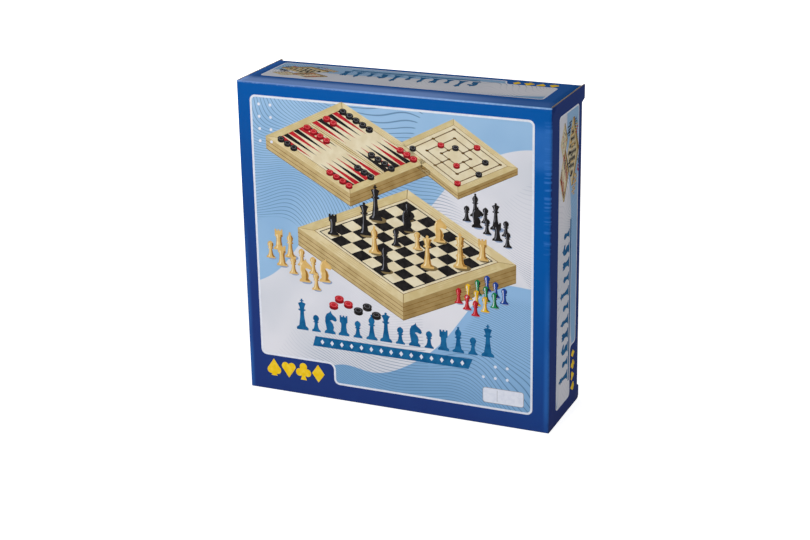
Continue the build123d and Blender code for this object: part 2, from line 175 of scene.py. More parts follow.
borderLook = {
    "ink": ("23397a", "0558a8"),             # at the low left and at the high right
    "from": 0.01, "to": 0.255, "lean": 0.5,  # heights where the one ends and the other starts; x's share, a painted shade that keeps the left darker higher up
    # a paler blue for the random mottle and for painted sheen
    "mottleAndSheen": "3674c2", "mottle": 0.1,
    "side": "182a6e", "sideShadeShare": 0.85,     # painted shade: the side walls' ink is darker
    "sideFrom": 1.5 * mm,                    # that ink starts this far behind the front
    "skin": (1.6 * mm, 0.8 * mm),            # depths under a wall where its own ink starts and is full
    "fold": 1.1 * mm,                        # width of the worn line on a fold, with its painted highlight
    # paler inks for the folds: wear, with a painted highlight
    "topFoldWearAndHighlight": "a6cdf6", "sideFoldWearAndHighlight": "3a6cb4",
    "front": 3 * mm,                         # what lies this close to the front counts as the panel
    # painted sheen on the front: a band beside the upright folds, crease streaks and a haze up high
    "band": (6.5 * mm, 2.5 * mm), "bandAt": 70 * mm, "bandHalf": (50 * mm, 110 * mm),
    "creaseSheenBand": (10 * mm, 2.5 * mm), "streaksAt": 225 * mm, "streaksHalf": (45 * mm, 70 * mm),
    "hazeSheenBand": 15 * mm, "hazeAt": 263 * mm, "hazeHalf": (12 * mm, 24 * mm),
    # painted sheen on the top wall's front strip
    "topSheen": "8db0f0", "topSheenBand": (10 * mm, 24 * mm), "topSheenShare": 0.8,
}


def makeBorderInk():
    finish = Finish("borderInk", **gloss)
    look = borderLook
    x, y, z = finish.axes()
    edge = width / 2
    onFront = y < frontY + look["front"]

    def inside(reach, limit, band):
        # 0 at the first depth under a limit, 1 at the second
        return reach.ramp(limit - band[0], limit - band[1])

    def around(name):
        # 1 near a height, 0 far from it
        return 1 - abs(z - look[name + "At"]).ramp(*look[name + "Half"])

    # deep navy low to bright blue high; its lean across is painted shade
    blue = finish.mix((z + x * look["lean"]).ramp(look["from"], look["to"]), *look["ink"])
    blue = finish.mix((finish.noise(60, 3) - 0.5) * look["mottle"], blue, look["mottleAndSheen"])
    # painted shade: the side walls take a darker ink
    sideWallShade = inside(abs(x), edge, look["skin"]) * (y > frontY + look["sideFrom"])
    blue = finish.mix(sideWallShade * look["sideShadeShare"], blue, look["side"])
    # the ink wears paler where the board folds, and a painted highlight runs along the folds, brightest along
    # the top and towards the right
    fold = look["fold"]
    sideFold, frontFold = abs(abs(x) - (edge - fold)), abs(y - (frontY + fold))
    topFold = abs(z - (height - fold))
    onTop, onSide = (1 - reach.most(frontFold).ramp(fold * 0.4, fold) for reach in (topFold, sideFold))
    rub = finish.noise(420, 3).ramp(0.42, 0.72)
    # painted highlight: the top fold's line brightens towards the right
    topWearAndHighlight = 0.1 + rub * 0.25 + x.ramp(-110 * mm, 40 * mm) * 0.6
    blue = finish.mix(onTop * topWearAndHighlight, blue, look["topFoldWearAndHighlight"])
    blue = finish.mix(onSide * rub * 0.25, blue, look["sideFoldWearAndHighlight"])
    # painted sheen: a soft lighter band beside the upright folds and a lighter haze up high; the laminate
    # creases in ragged streaks up high, and these carry painted sheen as well
    beside = inside(abs(x), edge, look["band"]) * onFront
    bandSheen = beside * around("band") * finish.noise(14, 1).ramp(0.3, 0.6)
    ragged = finish.noise(60, 4, finish.turned(scale=(0.45, 0.45, 7)), 0.4).ramp(0.5, 0.62)
    reach = inside(x, edge, look["creaseSheenBand"]) + finish.noise(90, 2) * 0.7
    streaks = ragged * reach.ramp(0.6, 1.1) * around("streaks") * onFront
    haze = around("haze") * (finish.noise(45, 2) + 0.5).least(1.0)
    haze = haze * onFront * (x > edge - look["hazeSheenBand"]) * (1 - streaks)
    blue = finish.mix(bandSheen * 0.5 + streaks * 0.85 + haze * 0.6, blue, look["mottleAndSheen"])
    # painted sheen: the top wall's front strip is paler, most of all at the left
    onTopWall = inside(z, height, look["skin"]) * (1 - (y - frontY).ramp(*look["topSheenBand"]))
    topSheen = look["topSheenShare"] - x.ramp(20 * mm, 130 * mm) * 0.65
    blue = finish.mix(onTopWall * topSheen, blue, look["topSheen"])
    finish.set(Base_Color=blue, Roughness=0.26 + finish.noise(35, 3) * 0.12)
    laminateBump(finish, streaks * 0.5 + 0.5)
    return finish.material


fieldLook = {
    "pale": ("d3d6df", "e6e5ec"), "sky": ("8fb6dc", "a0c4e6"),
    "deep": ("7aa5cd", "92bae1"),            # at the low end of the second sweep and at its high end
    # each sweep's slope across and up, and the waves of its edge: per unit across and up, height, seed
    "upper": {"slope": (-0.5, 1), "waves": ((4.3, 2.1, 0.13, 0), (9.1, 0, 0.03, 1))},
    "lower": {"slope": (0.62, -1), "waves": ((5.2, 0, 0.13, 2), (11.0, 0, 0.02, 0))},
    "high": 0.3,                             # how far off the middle the first sweep lies
    "edge": 0.006,
    "line": "466d94", "spacing": 2.7 * mm, "lineShare": 0.13, "run": (0.34, 0.94), "wave": 0.12,
    "patch": 0.37, "patchScale": 0.62,
}


def makeFieldInk(name, sweep):
    # pale ground, two sky-blue sweeps and patches of fine wavy lines
    finish = Finish(name, **gloss)
    look = fieldLook
    parts = dict(zip("xyz", finish.axes()))
    across, up = (parts[axis] - middle for axis, middle in zip(sweep["uses"], sweep["middle"]))
    s, t = (part / half for part, half in zip((across, up), sweep["half"]))
    seed = sweep["seed"]
    place = finish.turned(shift=seed)

    def within(sweepName, low):
        # above 0 inside a sweep
        shape = look[sweepName]
        depth = s * shape["slope"][0] + t * shape["slope"][1] - low
        for perS, perT, size, start in shape["waves"]:
            depth = depth + (s * perS + t * perT + seed[start]).sine() * size
        return depth

    upper, lower = within("upper", look["high"]), within("lower", sweep["low"])
    cloud = finish.noise(12, 2, place).ramp(0.3, 0.7)
    climb = (t + s * 0.3 + cloud * 0.3).ramp(-0.9, 0.1)
    pale, sky = (finish.mix(cloud, *look[name]) for name in ("pale", "sky"))
    colour = finish.mix(upper.ramp(0.0, look["edge"]), pale, sky)
    colour = finish.mix(lower.ramp(0.0, look["edge"]), colour, finish.mix(climb, *look["deep"]))
    hills = (finish.noise(sweep["hills"], 0.4, place) - 0.5) * look["wave"]
    phase = (across * look["run"][0] + up * look["run"][1] + hills) / look["spacing"]
    line = 1 - abs(phase.fraction() - 0.5).ramp(look["lineShare"] * 0.4, look["lineShare"])
    patch = finish.noise(sweep["hills"] * look["patchScale"], 0.3, finish.turned(shift=seed[1:] + seed[:1]))
    lined = patch.ramp(look["patch"], look["patch"] + 0.01).most(lower.ramp(0.06, 0.14) * sweep["lined"])
    nearBlue = upper.most(lower).ramp(-0.4, 0.0)     # the lines fade out over the pale ground
    colour = finish.mix(line * lined * (nearBlue * 0.6 + 0.1), colour, look["line"])
    finish.set(Base_Color=colour, Roughness=0.27 + finish.noise(30, 3) * 0.1)
    laminateBump(finish)
    return finish.material


def makePlainInk(name, codes, scale=200):
    # a printed colour, with the slight unevenness of a litho print
    finish = Finish(name, **gloss)
    finish.set(Base_Color=finish.mix(finish.noise(scale, 3).ramp(0.36, 0.66), *codes))
    laminateBump(finish)
    return finish.material


rawBoard = {
    "rawEdge": ("94806a", "6f5c48"), "boardInside": ("cfccc4", "bdb9ae"),
    "fluteShade": "5b4633", "flutes": 2900, "fibre": 0.12 * mm,
}


def makeBoardFinish(name, fluted=False):
    finish = Finish(name, Roughness=0.78, Specular_IOR_Level=0.3)
    fibre = finish.noise(380, 5, finish.turned(scale=(1, 1, 3)))
    cloud = finish.noise(24, 3)
    colour = finish.mix(fibre.ramp(0.35, 0.7) * 0.6 + cloud * 0.3, *rawBoard[name])
    if fluted:
        x, y, z = finish.axes()
        flute = ((y + z) * rawBoard["flutes"]).sine().ramp(0.1, 0.8)
        colour = finish.mix(flute * 0.55, colour, rawBoard["fluteShade"])
    finish.set(Base_Color=colour)
    finish.bump(fibre, rawBoard["fibre"])
    return finish.material


inks = {
    # two shades, and the scale of their change
    "white": (("e6e9f4", "dde1ee"), 300),
    "teal": (("12588a", "1f6a9c"), 160),
    "navy": (("1d2d66", "22356f"), 120),
    "yellow": (("f2c516", "f7d23c"),),
    "grey": (("8d9099", "9a9da6"),),
    "wood": (("d8c596", "e2d2a8"), 90),
    "woodRail": (("cdb986", "d8c798"), 90),
    "woodPale": (("ded0ae", "e8ddc0"), 90),
    "woodSide": (("a98e5c", "987d4d"), 90),
    "woodNear": (("cbb483", "bda573"), 90),
    "woodDark": (("8f6c38", "7c5a2c"), 90),
    "woodLine": (("6d5430", "5d4526"), 90),
    "fieldShadow": (("8d9dbb", "95a5c2"), 120),
    "woodShadow": (("857350", "7a6846"), 120),
    "boxwood": (("d6ae66", "dfba78"),),
    "boxwoodShade": (("96692f", "a57838"),),
    "boxwoodLight": (("f0dba8", "f5e4ba"),),
    "black": (("1d1b1c", "2a2727"),),
    "shine": (("707178", "82838b"),),
    "red": (("b3202a", "c52d36"),),
    "redShade": (("7d131b", "8a1820"),),
    "redShine": (("e0686c", "e88184"),),
    "green": (("1c7a4a", "2a8c59"),),
    "blue": (("23418f", "2f4fa3"),),
    "gold": (("e3b21e", "edc23a"),),
}
inkFinishes = {name: makePlainInk("ink_" + name, *look) for name, look in inks.items()}
print("inks ready")

# Drawings are loops of points in millimetres, on a face of the carton or on a board


def circle(middle, radius, count=28):
    angles = [math.tau * k / count for k in range(count)]
    return [(middle[0] + radius * math.cos(a), middle[1] + radius * math.sin(a)) for a in angles]


def rectangle(left, low, right, high):
    return [(left, low), (right, low), (right, high), (left, high)]


def roundRectangle(left, low, right, high, radius):
    # its loop starts at the high right corner
    return roundCorners(rectangle(right, high, left, low), radius)


def corners(points):
    # each corner between the one before it and the one after it
    count = len(points)
    return [[Vector(points[(index + step) % count]) for step in (-1, 0, 1)] for index in range(count)]


def roundCorners(points, radius, count=6):
    # a loop of sharp corners with each corner replaced by an arc
    loop = []
    for earlier, here, later in corners(points):
        before, after = (earlier - here).normalized(), (later - here).normalized()
        half = before.angle(after) / 2
        reach = radius / math.tan(half)
        start, end = here + before * reach, here + after * reach
        middle = here + (before + after).normalized() * (radius / math.sin(half))
        swing = (start - middle).angle_signed(end - middle)
        for k in range(count + 1):
            turn = Matrix.Rotation(-swing * k / count, 2)
            loop.append(middle + turn @ (start - middle))
    return loop


def inset(points, amount):
    # the loop moved inwards; it runs counter-clockwise
    moved = []
    for before, here, after in corners(points):
        first, second = (here - before).normalized(), (after - here).normalized()
        firstNormal, secondNormal = Vector((-first.y, first.x)), Vector((-second.y, second.x))
        bisector = (firstNormal + secondNormal).normalized()
        moved.append(here + bisector * (amount / max(0.3, bisector.dot(firstNormal))))
    return moved


def stroke(start, end, thickness):
    a, b = Vector(start), Vector(end)
    along = (b - a).normalized() * (thickness / 2)
    side = Vector((-along.y, along.x))
    return [a - side, b - side, b + side, a + side]


def quadMap(quad):
    # unit square to four corners: low left, low right, high right, high left
    a, b, c, d = (Vector(corner) for corner in quad)
    return lambda s, t: a * (1 - s) * (1 - t) + b * s * (1 - t) + c * s * t + d * (1 - s) * t


class Drawing:
    def __init__(self):
        self.shapes = []                 # ink, layer, loop

    def fill(self, colour, loop, layer=1):
        self.shapes.append((colour, layer, [tuple(point) for point in loop]))

    def band(self, colour, outer, inner, layer=1):
        for k in range(len(outer)):
            after = (k + 1) % len(outer)
            self.fill(colour, [outer[k], outer[after], inner[after], inner[k]], layer)

    def mapped(self, place, layer=0):
        # the same drawing through another map
        copy = Drawing()
        for colour, own, loop in self.shapes:
            copy.fill(colour, [place(*point) for point in loop], own + layer)
        return copy

    def add(self, other):
        self.shapes += other.shapes


# Boards in a unit square, with frames and lines as shares of it
sketch = {
    "mitre": 0.004, "figure": 0.0035, "edge": 0.005, "figureAt": (0.3, 0.55, 0.8),
    "chessFrame": 0.0792, "chessMargin": 0.11, "chessLine": 0.008,
    "tableMargin": 0.08, "bar": 0.05, "barLine": 0.006, "pointGap": 0.003, "pointLength": 0.37,
    "millMargin": 0.08, "millReaches": (0.36, 0.24, 0.12), "millLine": 0.014, "millSpot": 0.021,
}


def planked(margin):
    # a mitred frame round a field, two of its rails a shade darker
    board = Drawing()
    ring = rectangle(0, 0, 1, 1)
    field = rectangle(margin, margin, 1 - margin, 1 - margin)
    for k in range(4):
        after = (k + 1) % 4
        board.fill("wood" if k % 2 else "woodRail", [ring[k], ring[after], field[after], field[k]])
        board.fill("woodDark", stroke(ring[k], field[k], sketch["mitre"]), 2)
        for share in sketch["figureAt"]:
            start, end = (Vector(ring[j]).lerp(Vector(field[j]), share) for j in (k, after))
            a, b = start.lerp(end, 0.12 + 0.2 * share), start.lerp(end, 0.95 - 0.25 * share)
            board.fill("woodNear", stroke(a, b, sketch["figure"]), 2)
    board.fill("woodPale", field, 2)
    for k in range(4):
        board.fill("woodDark", stroke(field[k], field[(k + 1) % 4], sketch["edge"]), 3)
    return board


def chequers():
    board = planked(sketch["chessFrame"])
    margin, line = sketch["chessMargin"], sketch["chessLine"]
    board.fill("black", rectangle(margin - line, margin - line, 1 + line - margin, 1 + line - margin), 3)
    board.fill("woodPale", rectangle(margin, margin, 1 - margin, 1 - margin), 4)
    cell = (1 - 2 * margin) / 8
    for row in range(8):
        for column in range(row % 2, 8, 2):
            x, y = margin + column * cell, margin + row * cell
            board.fill("black", rectangle(x, y, x + cell, y + cell), 5)
    return board


def points24():
    # two tables of six points on each side of a bar
    margin, bar, length = sketch["tableMargin"], sketch["bar"], sketch["pointLength"]
    board = planked(margin)
    table = (1 - 2 * margin - bar) / 2
    step = table / 6
    for side in (0, 1):
        for k in range(6):
            low = margin + side * (table + bar) + k * step
            near, far = ("red", "black") if k % 2 else ("black", "red")
            left, tip, right = low + sketch["pointGap"], low + step / 2, low + step - sketch["pointGap"]
            board.fill(near, [(left, margin), (right, margin), (tip, margin + length)], 4)
            board.fill(far, [(right, 1 - margin), (left, 1 - margin), (tip, 1 - length - margin)], 4)
    low, high = 0.5 - bar / 2, 0.5 + bar / 2
    board.fill("wood", rectangle(low, margin, high, 1 - margin), 5)
    for x, colour, line in ((0.5, "woodLine", sketch["barLine"]), (low, "woodDark", sketch["mitre"]),
                            (high, "woodDark", sketch["mitre"])):
        board.fill(colour, stroke((x, margin), (x, 1 - margin), line), 6)
    return board


def mill():
    # nine men's morris: three squares, four ties and the points
    board = planked(sketch["millMargin"])
    line, reaches = sketch["millLine"], sketch["millReaches"]
    sides = [(dx, dy) for dx in (-1, 0, 1) for dy in (-1, 0, 1) if dx or dy]
    for reach in reaches:
        square = rectangle(0.5 - reach, 0.5 - reach, 0.5 + reach, 0.5 + reach)
        for k in range(4):
            board.fill("woodLine", stroke(square[k], square[(k + 1) % 4], line), 4)
        for dx, dy in sides:
            board.fill("woodLine", circle((0.5 + dx * reach, 0.5 + dy * reach), sketch["millSpot"], 14), 5)
    for dx, dy in sides:
        if not dx * dy:
            ends = [(0.5 + dx * reach, 0.5 + dy * reach) for reach in (reaches[-1], reaches[0])]
            board.fill("woodLine", stroke(*ends, line), 4)
    return board


# Half outlines of the men, foot to tip, as (height, half width) in a unit height
outlines = {
    "pawn": [(0, .26), (.07, .27), (.12, .23), (.16, .17), (.3, .12), (.52, .09), (.56, .16), (.6, .16),
             (.62, .1), (.68, .15), (.76, .185), (.86, .17), (.94, .11), (1, 0)],
    "rook": [(0, .27), (.08, .28), (.13, .23), (.18, .17), (.45, .13), (.62, .14), (.66, .2), (.74, .2),
             (1, .2), (1, .11), (.93, .11), (.93, .045), (1, .045), (1, 0)],
    "bishop": [(0, .22), (.06, .23), (.1, .19), (.15, .13), (.35, .09), (.54, .07), (.57, .13), (.6, .13),
               (.62, .08), (.7, .12), (.78, .125), (.87, .07), (.92, .03), (.95, .045), (.98, .04), (1, 0)],
    "queen": [(0, .2), (.06, .21), (.1, .17), (.14, .12), (.4, .075), (.62, .06), (.65, .12), (.68, .12),
              (.7, .07), (.8, .1), (.88, .15), (.9, .1), (.93, .03), (.95, .045), (.98, .04), (1, 0)],
    "king": [(0, .19), (.06, .2), (.1, .165), (.14, .115), (.4, .075), (.6, .06), (.63, .12), (.66, .12),
             (.68, .07), (.78, .1), (.85, .13), (.87, .09), (.89, .025), (.92, .025), (.92, .06),
             (.955, .06), (.955, .025), (1, .025), (1, 0)],
}
# The knight's whole outline, and the light and shade on it, as (x, height)
horse = {
    "whole": [(-.24, 0), (.24, 0), (.25, .07), (.2, .12), (.15, .17), (.18, .3), (.13, .45), (.02, .58),
              (.1, .6), (.25, .55), (.32, .62), (.27, .74), (.14, .84), (.08, .9), (.06, 1), (-.01, .92),
              (-.13, .85), (-.2, .7), (-.21, .5), (-.17, .3), (-.15, .17), (-.21, .12), (-.25, .07)],
    "neck": [(-.17, .3), (-.13, .3), (-.16, .5), (-.15, .7), (-.08, .82), (-.12, .82), (-.19, .7), (-.2, .5)],
    "chest": [(.02, .07), (.22, .07), (.17, .12), (.12, .17), (.15, .3), (.1, .45), (0, .56), (.04, .4),
              (.04, .2)],
}
manLook = {
    "shadow": 0.24, "shadowShift": (0.08, 0.02), "shadowSquash": 0.4,
    "shade": (0.45, 0.98), "light": (-0.3, -0.6),    # between which shares of the half width each lies
    "shadedUpTo": 0.9,
}


def scaled(loop, foot, tall):
    return [(foot[0] + x * tall, foot[1] + y * tall) for x, y in loop]


def manLoop(kind, foot, tall, turn=0.0):
    # silhouette of a man standing on foot
    if kind == "knight":
        loop = horse["whole"]
    else:
        half = outlines[kind]
        loop = [(reach, y) for y, reach in half] + [(-reach, y) for y, reach in reversed(half[:-1])]
    spin = Matrix.Rotation(turn, 2)
    return [Vector(foot) + spin @ Vector(point) for point in scaled(loop, (0, 0), tall)]


tones = {
    # body, shaded side and light streak
    "black": ("black", "black", "shine"),
    "boxwood": ("boxwood", "boxwoodShade", "boxwoodLight"),
    "red": ("red", "redShade", "redShine"),
    "gold": ("gold", "boxwoodShade", "white"),
    "green": ("green", "black", "white"),
    "blue": ("blue", "navy", "white"),
}


def man(drawing, kind, foot, tall, colour, layer, shadow="fieldShadow"):
    body, shade, light = tones[colour]
    (right, up), squash = manLook["shadowShift"], manLook["shadowSquash"]
    base = [(x + right, y * squash + up) for x, y in circle((0, 0), manLook["shadow"], 16)]
    drawing.fill(shadow, scaled(base, foot, tall), layer)
    drawing.fill(body, manLoop(kind, foot, tall), layer + 1)
    if kind == "knight":
        for tone, part in ((light, "neck"), (shade, "chest")):
            drawing.fill(tone, scaled(horse[part], foot, tall), layer + 2)
        return
    half = [(y, reach) for y, reach in outlines[kind][1:] if y < manLook["shadedUpTo"]]
    for tone, (inner, outer) in ((shade, manLook["shade"]), (light, manLook["light"])):
        for (low, wide), (high, wider) in zip(half, half[1:]):
            loop = [(wide * inner, low), (wider * inner, high), (wider * outer, high), (wide * outer, low)]
            drawing.fill(tone, scaled(loop, foot, tall), layer + 2)


stoneLook = {"squash": 0.62, "thick": 0.5, "ring": 0.66, "top": 0.56}


def disc(drawing, middle, radius, colour, layer):
    # a stone lying flat, seen from above the table
    body, shade, light = tones[colour]
    low = (middle[0], middle[1] - stoneLook["thick"] * radius)
    squash, ring, top = (stoneLook[name] for name in ("squash", "ring", "top"))
    rings = ((shade, low, 1), (body, middle, 1), (light, middle, ring), (body, middle, top))
    for step, (tone, spot, size) in enumerate(rings):
        loop = [(x, spot[1] + (y - spot[1]) * squash) for x, y in circle(spot, radius * size, 22)]
        drawing.fill(tone, loop, layer + step)


def suit(kind):
    # the loops of a card suit in a unit size
    stem = [(-.22, -.6), (.22, -.6), (.05, -.1), (-.05, -.1)]
    if kind == "diamond":
        return [[(0, .62), (-.45, 0), (0, -.62), (.45, 0)]]
    if kind == "club":
        leaves = [circle(middle, .27) for middle in ((-.28, -.08), (.28, -.08), (0, .32))]
        return leaves + [circle((0, .06), .14), stem]
    flip = 1 if kind == "heart" else -1
    lobes = [circle((x, flip * .2), .27) for x in (-.23, .23)]
    wedge = [(-.475, flip * .1), (0, -flip * .6), (.475, flip * .1), (0, flip * .25)]
    return lobes + [wedge] if kind == "heart" else lobes + [wedge[::-1], stem]


def suits(drawing, start, step, size, colour, layer, turn=0):
    spin = Matrix.Rotation(turn, 2)
    for k, kind in enumerate(("spade", "heart", "club", "diamond")):
        offset = Vector(start) + spin @ Vector((k * step, 0))
        for above, loop in enumerate(suit(kind)):
            drawing.fill(colour, [offset + spin @ Vector(point) * size for point in loop], layer + above)


slabLook = {"groove": 0.5, "foot": 0.4, "corner": 0.35, "footAt": 0.97}


def slab(drawing, board, quad, thick, layer, grooves=2):
    # a board drawn in perspective, with the two near edges of its frame below it
    near, right, far, left = quad
    drop = Vector((0, -thick))
    for start, end, colour in ((left, near, "woodNear"), (near, right, "woodSide")):
        a, b = Vector(start), Vector(end)
        drawing.fill(colour, [a + drop, b + drop, b, a], layer)
        for k in range(1, grooves + 1):
            shift = drop * (k / (grooves + 1))
            drawing.fill("woodDark", stroke(a + shift, b + shift, slabLook["groove"]), layer + 1)
        shift = drop * slabLook["footAt"]
        drawing.fill("woodLine", stroke(a + shift, b + shift, slabLook["foot"]), layer + 1)
    drawing.fill("woodDark", stroke(near, Vector(near) + drop, slabLook["corner"]), layer + 2)
    drawing.add(board.mapped(quadMap(quad), layer + 1))


kinds = ("king", "queen", "bishop", "knight", "rook", "pawn")
heights = {
    # of the kinds of men on each face, and of those on the squares
    "front": (31, 29, 25, 23, 20, 17), "squares": (33, 31, 26, 23, 20, 17), "top": (23, 22, 19, 17, 16, 14),
    "side": (25, 24, 22, 20, 18, 16), "back": (46, 42, 36, 34, 29, 25),
}
picture = {
    # near, right, far and left corners of the boards, and the thickness of each
    "tables": ((-38, 14), (40, 52), (-44, 98), (-121, 60)), "tablesThick": 12,
    "merels": ((66, 26), (121, 54), (62, 92), (8, 64)), "merelsThick": 6,
    "squares": ((12, -84), (120, -34), (18, 24), (-92, -24)), "squaresThick": 17,
    # stones on the tables: colour, point from the left, 1 for the far side, how many
    "played": (("red", 0, 0, 4), ("black", 4, 0, 3), ("black", 7, 0, 4), ("red", 11, 0, 3),
               ("black", 0, 1, 3), ("red", 5, 1, 4), ("red", 8, 1, 2), ("black", 11, 1, 5)),
    "stone": 3.6, "stoneMargin": 0.06, "stoneFirst": 0.1, "stoneStep": 0.075,
    "merelStones": (("black", -.36, .36), ("red", 0, .24), ("red", .36, 0), ("black", .24, -.24),
                    ("red", -.12, -.12), ("black", 0, -.36), ("red", -.36, -.36), ("black", .12, .12)),
    "merelStone": 3.2,
    # men on the squares: colour, kind, column, row
    "position": (("black", "rook", 0, 7), ("black", "king", 4, 7), ("black", "pawn", 6, 6),
                 ("black", "queen", 2, 6), ("black", "knight", 5, 5), ("boxwood", "bishop", 1, 4),
                 ("black", "pawn", 3, 4),
                 ("boxwood", "pawn", 4, 3), ("boxwood", "knight", 6, 3), ("black", "bishop", 0, 2),
                 ("boxwood", "queen", 3, 1), ("boxwood", "pawn", 6, 1), ("boxwood", "king", 5, 0),
                 ("boxwood", "rook", 7, 0)),
    # two groups beside the board: start, step to the next man and step to the next row
    "groups": (
        {"colour": "boxwood", "start": (-112, -48), "step": (11.5, -6.5), "row": (-9, -9), "size": 1,
         "men": ("rook bishop pawn pawn knight", "pawn rook pawn knight pawn")},
        {"colour": "black", "start": (82, 6), "step": (9.5, -5), "row": (-8, -5), "size": 0.85,
         "men": ("bishop pawn queen pawn", "pawn knight pawn rook pawn")},
    ),
    "pawns": {"start": (66, -77), "step": (9, 5), "row": (8, -5), "height": 15},
    "loose": (("red", -52, -88), ("red", -43, -92), ("red", -58, -95),
              ("black", -33, -97), ("black", -24, -92), ("black", -15, -99)),
    "looseStone": 4.6,
}


def tallOf(face, kind):
    return heights[face][kinds.index(kind)]


def drawPicture(drawing, middle, scale, layer):
    # tilted boards with men and stones on and around them
    def at(x, y):
        return (middle[0] + x * scale, middle[1] + y * scale)

    names = ("tables", "merels", "squares")
    tables, merels, squares = (scaled(picture[name], middle, scale) for name in names)
    slab(drawing, points24(), tables, picture["tablesThick"] * scale, layer)
    slab(drawing, mill(), merels, picture["merelsThick"] * scale, layer, 1)
    onTables, onMerels, onSquares = quadMap(tables), quadMap(merels), quadMap(squares)
    margin, bar = picture["stoneMargin"], sketch["bar"]
    step = (1 - 2 * margin - bar) / 12
    for colour, column, far, count in picture["played"]:
        x = margin + step * (column + 0.5) + (bar if column > 5 else 0)
        for k in range(count):
            y = picture["stoneFirst"] + picture["stoneStep"] * k
            disc(drawing, onTables(x, 1 - y if far else y), picture["stone"] * scale, colour, layer + 6)
    for colour, dx, dy in picture["merelStones"]:
        disc(drawing, onMerels(0.5 + dx, 0.5 + dy), picture["merelStone"] * scale, colour, layer + 6)
    slab(drawing, chequers(), squares, picture["squaresThick"] * scale, layer + 10, 3)
    top = layer + 17
    edge = sketch["chessMargin"]
    cell = (1 - 2 * edge) / 8
    for k, (colour, kind, column, row) in enumerate(picture["position"]):
        foot = onSquares(edge + cell * (column + 0.5), edge + cell * (row + 0.3))
        man(drawing, kind, foot, tallOf("squares", kind) * scale, colour, top + k // 3, "woodShadow")
    for group in picture["groups"]:
        for row, men in enumerate(group["men"]):
            for k, kind in enumerate(men.split()):
                x, y = (a + k * b + row * c for a, b, c in zip(group["start"], group["step"], group["row"]))
                tall = tallOf("front", kind) * group["size"] * scale
                man(drawing, kind, at(x, y), tall, group["colour"], top + row * 3)
    pawns = picture["pawns"]
    for k, colour in enumerate(("red", "gold", "green", "blue")):
        for j in range(3):
            x, y = (a + k * b + j * c for a, b, c in zip(pawns["start"], pawns["step"], pawns["row"]))
            man(drawing, "pawn", at(x, y), pawns["height"] * scale, colour, top + j)
    for colour, x, y in picture["loose"]:
        disc(drawing, at(x, y), picture["looseStone"] * scale, colour, top)


def framed(outer, line):
    # a white line round a field; the loop inside it takes the field
    drawing = Drawing()
    inner = inset(outer, line)
    drawing.band("white", outer, inner, 3)
    return drawing, inner


def tealMen(drawing, face, look):
    # a row of men in one ink on a band of it, in place of a title
    for k, kind in enumerate(look["men"].split()):
        foot = tuple(start + k * step for start, step in zip(look["start"], look["step"]))
        drawing.fill("teal", manLoop(kind, foot, tallOf(face, kind), look["turn"]), 4)
    drawing.fill("teal", look["band"], 4)


margin = {"left": 13.3, "right": 15, "top": 11.6, "bottom": 16, "line": 2.0, "corner": 5.5}
frontLook = {
    "notch": (-61, 36), "picture": (-1, 191),
    "men": "king pawn knight rook pawn bishop queen pawn knight pawn rook bishop pawn king",
    "start": (-92, 66.5), "step": (14.2, 0), "turn": 0, "band": [(-82, 52), (74, 52), (78, 62), (-79, 62)],
    "suits": ((-124, 24), 15.5, 14.5),
    "label": (87.5, 22, 127, 37), "labelCorner": 2.6, "labelLine": 0.5, "divider": (101.5, 24, 35, 0.35),
}


def drawFront():
    look = frontLook
    left, right = -width / 2 / mm + margin["left"], width / 2 / mm - margin["right"]
    top, bottom = height / mm - margin["top"], margin["bottom"]
    notchX, notchZ = look["notch"]
    outline = [(right, top), (left, top), (left, notchZ), (notchX, notchZ), (notchX, bottom), (right, bottom)]
    drawing, inner = framed(roundCorners(outline, margin["corner"]), margin["line"])
    drawPicture(drawing, look["picture"], 1.0, 4)
    tealMen(drawing, "front", look)
    suits(drawing, *look["suits"], "yellow", 3)
    label = roundRectangle(*look["label"], look["labelCorner"])
    drawing.fill("white", label, 4)
    drawing.band("grey", label, inset(label, look["labelLine"]), 5)
    x, low, high, line = look["divider"]
    drawing.fill("grey", stroke((x, low), (x, high), line), 5)
    return drawing, inner


walls = {
    # the top: x along the face, y back from the front panel
    "top": {
        "outline": [(133.5, 25), (133.5, 68), (85, 68), (82, 78.5), (-139, 78.5), (-139, 25)],
        "men": "knight queen pawn rook bishop pawn king knight pawn bishop rook",
        "start": (58, 65), "step": (-12.5, 0), "turn": math.pi,
        "band": [(60, 70.5), (-66, 70.5), (-66, 67.3), (60, 67.3)],
        "scale": 0.2, "lay": lambda x, y: (-105 - x * 1.15, 50 - y), "suits": ((127, 73.5), 11.5, 8.5),
    },
    # a side: y back from the front panel along the face, z up
    "side": {
        "outline": [(75.4, 286.8), (21, 286.8), (21, 13), (60, 13), (60, 62), (75.4, 62)],
        "men": "king pawn knight rook bishop pawn queen pawn rook knight pawn",
        "start": (53, 38), "step": (0, 13.6), "turn": math.pi / 2,
        "band": [(54.6, 30), (57.6, 30), (57.6, 186), (54.6, 186)],
        "scale": 0.265, "lay": lambda x, y: (49 - y, 243 + x * 1.1), "suits": ((68.5, 19), 11, 8.5),
    },
    "corner": 4, "line": 1.5,
}


def drawWall(name):
    look = walls[name]
    drawing, inner = framed(roundCorners(look["outline"], walls["corner"], 4), walls["line"])
    tealMen(drawing, name, look)
    flat = Drawing()
    drawPicture(flat, (0, 0), look["scale"], 4)
    drawing.add(flat.mapped(look["lay"]))
    suits(drawing, *look["suits"], "yellow", 3, look["turn"])
    return drawing, inner


backLook = {
    # x to the viewer's right from behind, z up
    "panel": (-131, 14, 131, 283), "tiles": (-70, 0, 70), "tilesAt": 178, "tile": 58,
    "start": (-92, 78), "step": 37, "band": (-112, 62, 112, 70), "suits": ((-82, 40), 55, 14),
}


